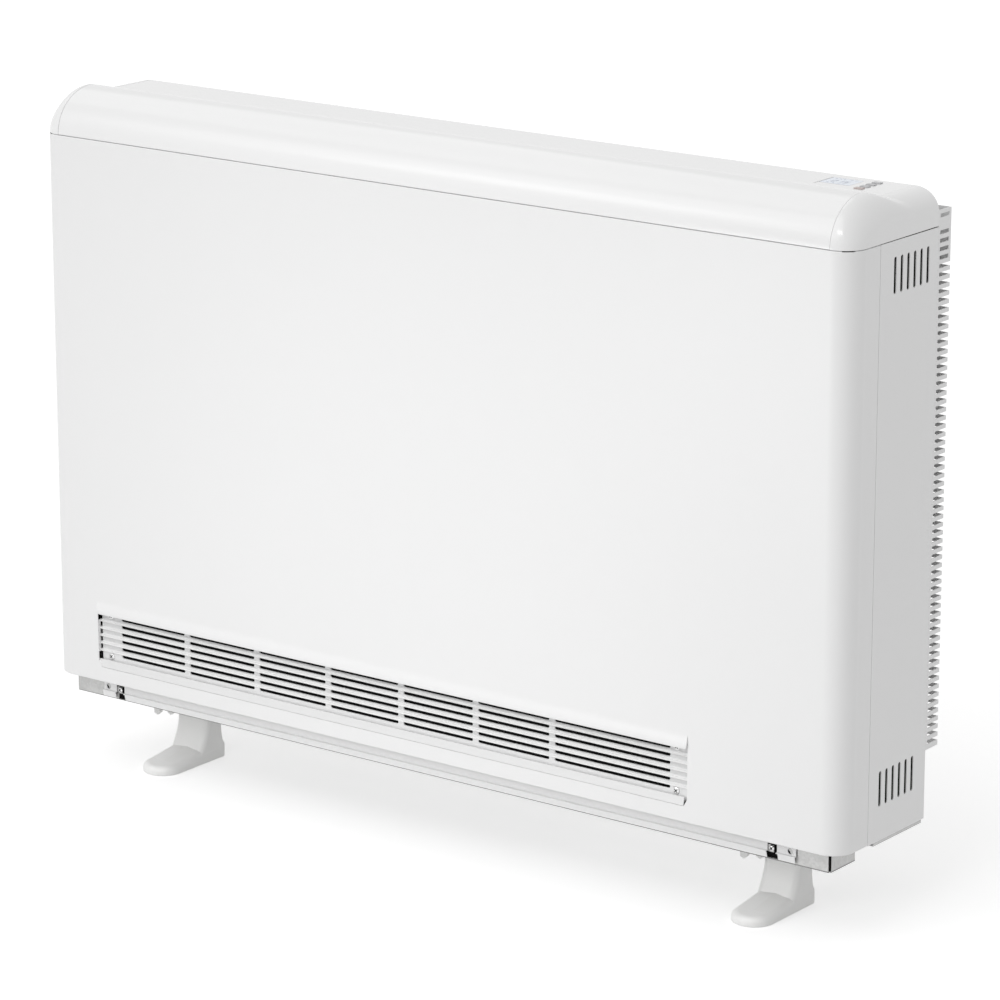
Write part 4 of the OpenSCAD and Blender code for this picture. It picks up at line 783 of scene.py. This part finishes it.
shape.faces.new([shape.verts.new(spot(*place)) for place in corners])
bmesh.ops.remove_doubles(shape, verts=shape.verts, dist=fine_weld)
front_skin = piece("front_panel_sheet", shape, enamel, ["front_panel"], ease=0.25, sharp=40)
thick(front_skin, sheet)
strip = bmesh.new()
skin(strip, [sill_row(share, rise) for share, rise in sill_line], closed=False, caps=False)
# A darker copy of the white enamel, as painted shade on the sill.
shaded_sill_enamel = white_enamel("shaded_sill_enamel", shade=sill_painted_shade)
sill_skin = piece("outlet_sill_strip", strip, shaded_sill_enamel, ease=0.25, sharp=40)
thick(sill_skin, sheet)


# ---------- outlet grille ----------
# A pressed steel grille, coated white, sits behind the outlet and is screwed to it at its corners. Seven
# columns of slots are punched in it, and a stiff stepped rib is pressed out between each two rows.
# A black plate stands behind it as painted shade, so that the slots read black.

grille_plate = (-434.0, 323.4, 119, 186)
grille_front = 5
grille_sheet = 1.2
slot_left = 29
slot_pitch, slot_length, last_slot = 94.8, 88, 138.8
slot_columns, slot_rows = 7, 6
slot_low, row_pitch, slot_tall = 129.5, 8.16, 3.8
rib_ends = ((-435.9, 0.5), (-433.1, 0.5), (-432.9, 2.1), (323.8, 2.1))
rib_line = ((-0.6, -2.1), (0, -2.1), (1.5, -1.9), (2.45, -1.75), (2.6, -1.45), (1.1, -0.4),
            (1.1, -0.05), (1.9, 0.5), (0.25, 2.0), (0, 2.1), (-0.6, 2.1))
# The black plate of painted shade behind the grille: its depth, inset and thickness.
shade_plate_y, shade_plate_edge, shade_plate_sheet = 8.5, 3, 0.8
grille_screw_x, grille_screw_z = (-421.5, 308.3), (127.0, 171.9)
grille_screw_size = (3.8, 1.6, 1.45, 5)


def blackened_steel():
    """Heat-proof black lacquer on sheet, matt and a little dusty. It also colours the black plates of
    painted shade.
    """
    f = Finish("black_coated_aluminium")
    dust_and_shade = f.grain(0.02)
    speck = f.grain(0.001, 2)
    colour = f.mix(dust_and_shade, (0.002, 0.002, 0.002), (0.006, 0.006, 0.006))
    return f.surface(Base_Color=colour, Roughness=0.8 + 0.2 * (speck - 0.5), Specular_IOR_Level=0.12,
                     Normal=f.bump(speck, 0.00003, 0.5))


def pierced_plate(outline, holes, thickness, y):
    """A flat plate at a depth, cut from a drawn outline with holes in it, as x and z in millimetres."""
    drawing = bpy.data.curves.new("drawing", "CURVE")
    drawing.dimensions, drawing.fill_mode, drawing.extrude = "2D", "BOTH", thickness / 2000
    for line in (outline, *holes):
        spline = drawing.splines.new("POLY")
        spline.points.add(len(line) - 1)
        for point, (x, z) in zip(spline.points, line):
            point.co = (x / 1000, z / 1000, 0, 1)
        spline.use_cyclic_u = True
    thing = bpy.data.objects.new("drawing", drawing)
    scene.collection.objects.link(thing)
    shape = bmesh.new()
    shape.from_mesh(thing.to_mesh())
    bpy.data.objects.remove(thing)
    for vert in shape.verts:
        x, z, out = vert.co
        vert.co = spot(x * 1000, y - out * 1000, z * 1000)
    bmesh.ops.remove_doubles(shape, verts=shape.verts, dist=fine_weld)
    bmesh.ops.dissolve_limit(shape, angle_limit=math.radians(1), verts=shape.verts, edges=shape.edges)
    return shape


def round_slot(x0, x1, z, height, steps=6):
    r = height / 2
    turns = [math.radians(90 + 180 * i / steps) for i in range(steps + 1)]
    left = [(x0 + r + r * math.cos(a), z + r * math.sin(a)) for a in turns]
    return left + [(x0 + x1 - x, 2 * z - zz) for x, zz in left]


black_lacquer = blackened_steel()
x0, x1, z0, z1 = grille_plate
slots = []
lengths = [slot_length] * (slot_columns - 1) + [last_slot]
for row in range(slot_rows):
    for column, length in enumerate(lengths):
        start = outlet_x[0] + slot_left + column * slot_pitch
        slots.append(round_slot(start, start + length, slot_low + row * row_pitch, slot_tall))
outline = [(x0, z0), (x1, z0), (x1, z1), (x0, z1)]
grille = pierced_plate(outline, slots, grille_sheet, grille_front + grille_sheet / 2)
for i in range(1, slot_rows + 1):
    height = slot_low + (i - 0.5) * row_pitch
    skin(grille, [[spot(x, grille_front - d, height + min(z, top)) for d, z in rib_line]
                  for x, top in rib_ends])
bmesh.ops.recalc_face_normals(grille, faces=grille.faces)
# The grille's plate between its ribs carries painted shade.
grille_enamel = white_enamel("grille_enamel", back=grille_front)
piece("outlet_grille_pressing", grille, grille_enamel, ["outlet_grille"], ease=0.12)
places = [(x, grille_front, z) for x in grille_screw_x for z in grille_screw_z]
screws("grille_screw", "grille_screws", places, (0, -1, 0), grille_screw_size)
shape = bmesh.new()
low = (x0 + shade_plate_edge, shade_plate_y, z0 + shade_plate_edge)
high = (x1 - shade_plate_edge, shade_plate_y + shade_plate_sheet, z1 - shade_plate_edge)
block(shape, low, high)
# A black plate of painted shade behind the grille's slots.
piece("outlet_shade_plate", shape, black_lacquer, ease=0.2)


# ---------- side and rear panels ----------
# Flat folded side panels of coated sheet, with punched vents, close the ends, and a bare galvanised sheet
# closes the back. A black plate stands behind each group of vents as painted shade, so that the vents
# read black.

vent_groups = ((128, 173), (630, 672))
# Black plates of painted shade behind the side vents: their depth and inset.
shade_plate_depth = (64, 146)
shade_plate_inset = 2.2
vent_width, vent_height, vent_pitch, vent_count = 4.5, 35.5, 11.5, 6
vent_starts = ((68.5, 150.5), (74.5, 651))
vent_cut = (half_width - 3, half_width + 1)

vent = round_slot(-vent_height / 2, vent_height / 2, 0, vent_width)
for name, node, side in (("left_side_sheet", "left_side_panel", -1),
                         ("right_side_sheet", "right_side_panel", 1)):
    slots = bmesh.new()
    for start, height in vent_starts:
        for i in range(vent_count):
            y = start + i * vent_pitch
            skin(slots, [[spot(side * x, y + across, height + along) for along, across in vent]
                         for x in vent_cut])
    piece(name, cut(clean(solid_of(node)), slots), enamel, [node], ease=0.2)
# Black plates of painted shade behind each group of vents.
for name, side in (("left_vent_shade_plates", -1), ("right_vent_shade_plates", 1)):
    shape = bmesh.new()
    near, far = sorted(side * (half_width - shade_plate_inset - t) for t in (0, shade_plate_sheet))
    for low, high in vent_groups:
        block(shape, (near, shade_plate_depth[0], low), (far, shade_plate_depth[1], high))
    piece(name, shape, black_lacquer, ease=0.2)


# ---------- wall spacer ----------
# A thin frame of folded steel, coated white, keeps the heater off the wall.
# Its edges are slotted like a comb to let warm air out.

# A slightly darker copy of the white enamel, as painted shade on the spacer.
shaded_spacer_enamel = white_enamel("shaded_spacer_enamel", shade=(0.85, 0.85, 0.85))
eased_copy("wall_spacer_sheet", "wall_spacer", shaded_spacer_enamel, ease=0.2)


# ---------- lid ----------
# The lid is pressed from sheet steel and painted gloss white, with a hump in front that falls to a flat
# shelf at the back. Openings in the shelf take the display and four buttons.

cap_seam = 475
seam_half = 0.18
lid_low = 684.6
lid_sheet = 2
hump_top, hump_place = 45.4, 52
shelf_top, shelf_start = 36.8, 87
casing_depth = 150
rear_round = 3
cap_reach, cap_height, cap_drift, cap_lift = 25, 15.6, 30, 0.6
display = (390.98, 426.02, 99.98, 136.02)
buttons_x = (436.2, 445.8)
button_pitch, button_half = 10.6, 3.3
shelf_middle = 118


def gloss_paint():
    """Stoved gloss paint: smooth, with a shallow flow in it."""
    f = Finish("gloss_white")
    flow = f.grain(0.012, 1)
    peel = f.grain(0.0025, 1)
    colour = f.mix(f.grain(0.3, 2), (0.865, 0.865, 0.865), (0.875, 0.875, 0.875))
    return f.surface(Base_Color=colour, Roughness=0.2 + 0.04 * (peel - 0.5), IOR=1.5, Coat_Weight=0.12,
                     Coat_Roughness=0.06, Normal=f.bump(flow, 0.00006, 0.4))


lid_paint = gloss_paint()


def lid_section(angle, stations=()):
    """The lid's outside, as (y, z) above its lower edge, at an angle round the end cap."""
    c, s = math.cos(angle), math.sin(angle)
    start = corner * (1 - c)
    peak = cap_height + (hump_top - cap_height) * c
    level = cap_height + (shelf_top - cap_height) * c
    top = hump_place + cap_drift * s * s
    shelf = shelf_start + cap_drift * s * s
    line = [(start, 0)]
    for i in range(1, 33):
        a = math.radians(90 * i / 32)
        line.append((top - (top - start) * math.cos(a), peak * math.sin(a)))
    for i in range(1, 21):
        u = i / 20
        line.append((top + (shelf - top) * u, level + (peak - level) * (1 + math.cos(math.pi * u)) / 2))
    line += [(y, level) for y in stations]
    for i in range(7):
        a = math.radians(15 * i)
        line.append((casing_depth - rear_round * (1 - math.sin(a)), level - rear_round * (1 - math.cos(a))))
    return line + [(casing_depth, 0)]


button_places = [shelf_middle + (i - 1.5) * button_pitch for i in range(4)]
openings = [display] + [(*buttons_x, y - button_half, y + button_half) for y in button_places]
stations = sorted({y for hole in openings for y in hole[2:]})
across = sorted({seam_half - cap_seam, cap_seam - seam_half} | {x for hole in openings for x in hole[:2]})
line = lid_section(0, stations)
shape = bmesh.new()
grid = [[shape.verts.new(spot(x, y, lid_low + z)) for x in across] for y, z in line]
for i in range(len(line) - 1):
    for j in range(len(across) - 1):
        x, y = (across[j] + across[j + 1]) / 2, (line[i][0] + line[i + 1][0]) / 2
        if line[i][1] > 1 and any(h[0] < x < h[1] and h[2] < y < h[3] for h in openings):
            continue
        shape.faces.new((grid[i][j], grid[i][j + 1], grid[i + 1][j + 1], grid[i + 1][j]))
lid = piece("top_lid_sheet", shape, lid_paint, ["top_lid"], ease=0.45, sharp=40)
thick(lid, lid_sheet)


# ---------- end caps ----------
# Each end of the lid is a moulded cap that carries the lid's section round the corner and down to the side
# panel. It is painted with the lid, and a fine groove shows where they meet.

def make_cap(name, node, side):
    shape = bmesh.new()
    steps = 28
    rings = []
    for i in range(steps + 1):
        angle = math.radians(90 * i / steps)
        x = side * (cap_seam + seam_half + (cap_reach - seam_half) * math.sin(angle))
        lift = cap_lift * math.sin(angle) / casing_depth
        rings.append([spot(x, y, lid_low + max(z, lift * y)) for y, z in lid_section(angle)])
    rows = skin(shape, rings, closed=False, caps=False)
    shape.faces.new(rows[-1])
    bmesh.ops.recalc_face_normals(shape, faces=shape.faces)
    if max(shape.faces, key=lambda f: f.calc_center_median().z).normal.z < 0:
        bmesh.ops.reverse_faces(shape, faces=shape.faces)
    cap = piece(name, shape, lid_paint, [node], ease=0.45, sharp=40)
    thick(cap, lid_sheet)


make_cap("left_cap_moulding", "left_end_cap", -1)
make_cap("right_cap_moulding", "right_end_cap", 1)


# ---------- controls ----------
# A small liquid crystal display and a row of four keys stand in the lid's shelf at the right.
# The display is a printed crystal in a grey frame behind its window, and the keys are moulded plastic.

lcd_frame = 0.5
lcd_front = 9.2
lcd_back = 0.4
lcd_edge, lcd_depth = 0.2, 0.2
surround_down, frame_down, crystal_down, ink_down = 0.12, 0.07, 0.04, 0.01
digit_strokes = {"1": "bc", "2": "abged", "5": "afgcd"}
digit_text = "215"
digit_size, digit_step, digit_stroke = (3.6, 7.6), 6.6, 0.8
digit_start = (8.5, 10.5)
mark_row = ((5, 21.6), (9.5, 21.6), (14, 21.6), (22, 21.6), (26.5, 21.6),
            (6, 3.4), (12, 3.4), (18, 3.4), (24, 3.4))
mark_size = (2.6, 0.9)
key_ease = 0.4


def crystal():
    """Liquid crystal behind clear plastic: a pale blue-white with a slight haze."""
    f = Finish("display_glass")
    haze = f.grain(0.03)
    return f.surface(Base_Color=f.mix(haze, (0.76, 0.82, 0.92), (0.8, 0.86, 0.95)),
                     Roughness=0.2 + 0.05 * haze, Coat_Weight=0.3, Coat_Roughness=0.05)


low, high = [corner * 1000 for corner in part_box("display_window")]
left, right, bottom, top = low.x, high.x, low.z, high.z
front, back = low.y - front_face, high.y - front_face
shape = bmesh.new()
block(shape, (left, front, bottom), (right, back, top - surround_down))
piece("display_surround", shape, lid_paint, ["display_window"], ease=0.2)
x0, x1, z0 = left + lcd_edge, right - lcd_edge, top - lcd_depth
y0, y1 = front + lcd_front, back - lcd_back
shape = bmesh.new()
block(shape, (x0, y0 - lcd_frame, z0), (x1, y1 + lcd_edge, top - frame_down))
piece("display_frame", shape, moulded_plastic("frame_plastic", (0.42, 0.41, 0.46)))
shape = bmesh.new()
block(shape, (x0 + lcd_frame, y0, z0), (x1 - lcd_frame, y1, top - crystal_down))
piece("display_crystal", shape, crystal())
shape = bmesh.new()
wide, tall = digit_size
half = digit_stroke / 2
strokes = {"a": (0, tall, wide, tall), "b": (wide, tall / 2, wide, tall), "c": (wide, 0, wide, tall / 2),
           "d": (0, 0, wide, 0), "e": (0, 0, 0, tall / 2), "f": (0, tall / 2, 0, tall),
           "g": (0, tall / 2, wide, tall / 2)}
y = back - digit_start[1] - tall
for i, digit in enumerate(digit_text):
    x = left + digit_start[0] + i * digit_step
    for name in digit_strokes[digit]:
        xa, ya, xb, yb = strokes[name]
        block(shape, (x + xa - half, y + ya - half, z0), (x + xb + half, y + yb + half, top - ink_down))
for mark_x, mark_y in mark_row:
    x, y = left + mark_x, y0 + mark_y
    block(shape, (x, y, z0), (x + mark_size[0], y + mark_size[1], top - ink_down))
piece("display_segments", shape, moulded_plastic("segment_ink", (0.3, 0.33, 0.42)))
key_grey = moulded_plastic("button_plastic", (0.55, 0.55, 0.56))
key_red = moulded_plastic("menu_button_plastic", (0.56, 0.48, 0.46))
for node, key, finish, slot in (("menu_button", "menu_key", key_red, "menu_button_plastic"),
                                ("down_button", "down_key", key_grey, "button_plastic"),
                                ("up_button", "up_key", key_grey, "button_plastic"),
                                ("confirm_button", "confirm_key", key_grey, "button_plastic")):
    eased_copy(node + "_moulding", node, finish, key_ease, key)


# ---------- inner parts ----------
# The bricks, their insulation, the elements, the fan and the boards stay as the drawing has them.
# They are fired, pressed, drawn, rolled or moulded, and each gets a finish of its own.


def mineral_board():
    """Pressed vermiculite and glass fibre: pale buff, with flakes and short fibres."""
    f = Finish("mineral_board")
    fibre = f.grain(0.002, 4, (1, 1, 7))
    flake = f.cells(0.003, "Distance")
    colour = f.mix(flake * 0.5 + fibre * 0.5, (0.72, 0.69, 0.61), (0.5, 0.47, 0.4))
    return f.surface(Base_Color=colour, Roughness=0.88 + 0.1 * fibre,
                     Normal=f.bump(fibre + flake, 0.0003, 0.6))


def fired_brick():
    """Storage brick: iron ore fired dark brown, with coarse grains and fine pores."""
    f = Finish("storage_ceramic")
    grains = f.node("SeparateColor", {}, {"Color": f.cells(0.0022)})
    pores = f.ramp(f.grain(0.0012, 2), (0.3, 0), (0.42, 1))
    stain = f.grain(0.04)
    body = f.mix(stain, (0.13, 0.095, 0.08), (0.21, 0.15, 0.125))
    colour = f.mix(grains * 0.5, body, (0.3, 0.24, 0.21))
    return f.surface(Base_Color=colour, Roughness=0.82 + 0.12 * grains, Normal=f.bump(pores, 0.0003, 0.7))


def scaled_sheath():
    """An alloy sheath that has been red hot: dull grey-brown scale with a blue cast in places."""
    f = Finish("element_sheath")
    scale, heat = f.grain(0.002, 4), f.grain(0.03, 2)
    colour = f.mix(heat, (0.17, 0.15, 0.14), (0.2, 0.21, 0.26))
    return f.surface(Base_Color=colour, Metallic=0.8, Roughness=0.42 + 0.3 * scale,
                     Normal=f.bump(scale, 0.00005, 0.6))


def glazed_ceramic():
    """Steatite with a thin cream glaze."""
    f = Finish("white_ceramic")
    body, crawl = f.grain(0.008), f.grain(0.001, 2)
    colour = f.mix(body, (0.74, 0.71, 0.64), (0.82, 0.8, 0.75))
    return f.surface(Base_Color=colour, Roughness=0.22 + 0.15 * crawl, Normal=f.bump(crawl, 0.00003, 0.5))


def drawn_metal(name, dark, light, roughness, size=0.003, stretch=(1, 1, 1), depth=0.00003):
    """Bare metal with a drawn, turned or rolled grain along one direction."""
    f = Finish(name)
    grain, tarnish = f.grain(size, 3, stretch), f.grain(0.02)
    colour = f.mix(tarnish * 0.6 + grain * 0.4, dark, light)
    return f.surface(Base_Color=colour, Metallic=1.0, Roughness=roughness + 0.2 * (grain - 0.5),
                     Normal=f.bump(grain, depth, 0.5))


def circuit_board():
    """Green solder mask over copper tracks, with tinned pads."""
    f = Finish("circuit_board")
    tracks = f.cells(0.004, "Distance", feature="DISTANCE_TO_EDGE") > 0.13
    pads = f.cells(0.0026, "Distance") > 0.14
    mask = f.mix(tracks, (0.045, 0.22, 0.1), (0.02, 0.13, 0.055))
    colour = f.mix(pads, (0.62, 0.62, 0.6), mask)
    return f.surface(Base_Color=colour, Roughness=0.3 + 0.1 * tracks, Normal=f.bump(tracks, 0.00004, 0.6))


inner = {
    "galvanised_steel": zinc_sheet,
    "zinc_plated_steel": bright_zinc,
    "mineral_board": mineral_board(),
    "storage_ceramic": fired_brick(),
    "element_sheath": scaled_sheath(),
    "white_ceramic": glazed_ceramic(),
    "black_coated_aluminium": black_lacquer,
    "bronze": drawn_metal("bronze", (0.4, 0.25, 0.1), (0.58, 0.4, 0.2), 0.34),
    "laminated_steel": drawn_metal("laminated_steel", (0.2, 0.2, 0.21), (0.42, 0.42, 0.43), 0.4,
                                   0.01, (20, 1, 1), 0.0002),
    "bimetal": drawn_metal("bimetal", (0.5, 0.43, 0.34), (0.62, 0.54, 0.42), 0.3, 0.004, (1, 8, 1)),
    "circuit_board": circuit_board(),
    "dark_plastic": moulded_plastic("dark_plastic", (0.04, 0.04, 0.045)),
    "brown_phenolic": moulded_plastic("brown_phenolic", (0.13, 0.06, 0.03), 0.3),
    "red_plastic": moulded_plastic("red_plastic", (0.55, 0.03, 0.02), 0.35),
    "wire_insulation": moulded_plastic("wire_insulation", (0.3, 0.03, 0.02), 0.4),
    "white_plastic": white_plastic,
    "white_enamel": enamel,
    "gloss_white": lid_paint,
    "button_plastic": key_grey,
    "menu_button_plastic": key_red,
    "display_glass": lid_paint,
}
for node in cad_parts.values():
    if not node.hide_render:
        for slot in node.material_slots:
            slot.material = inner[slot.material.name]
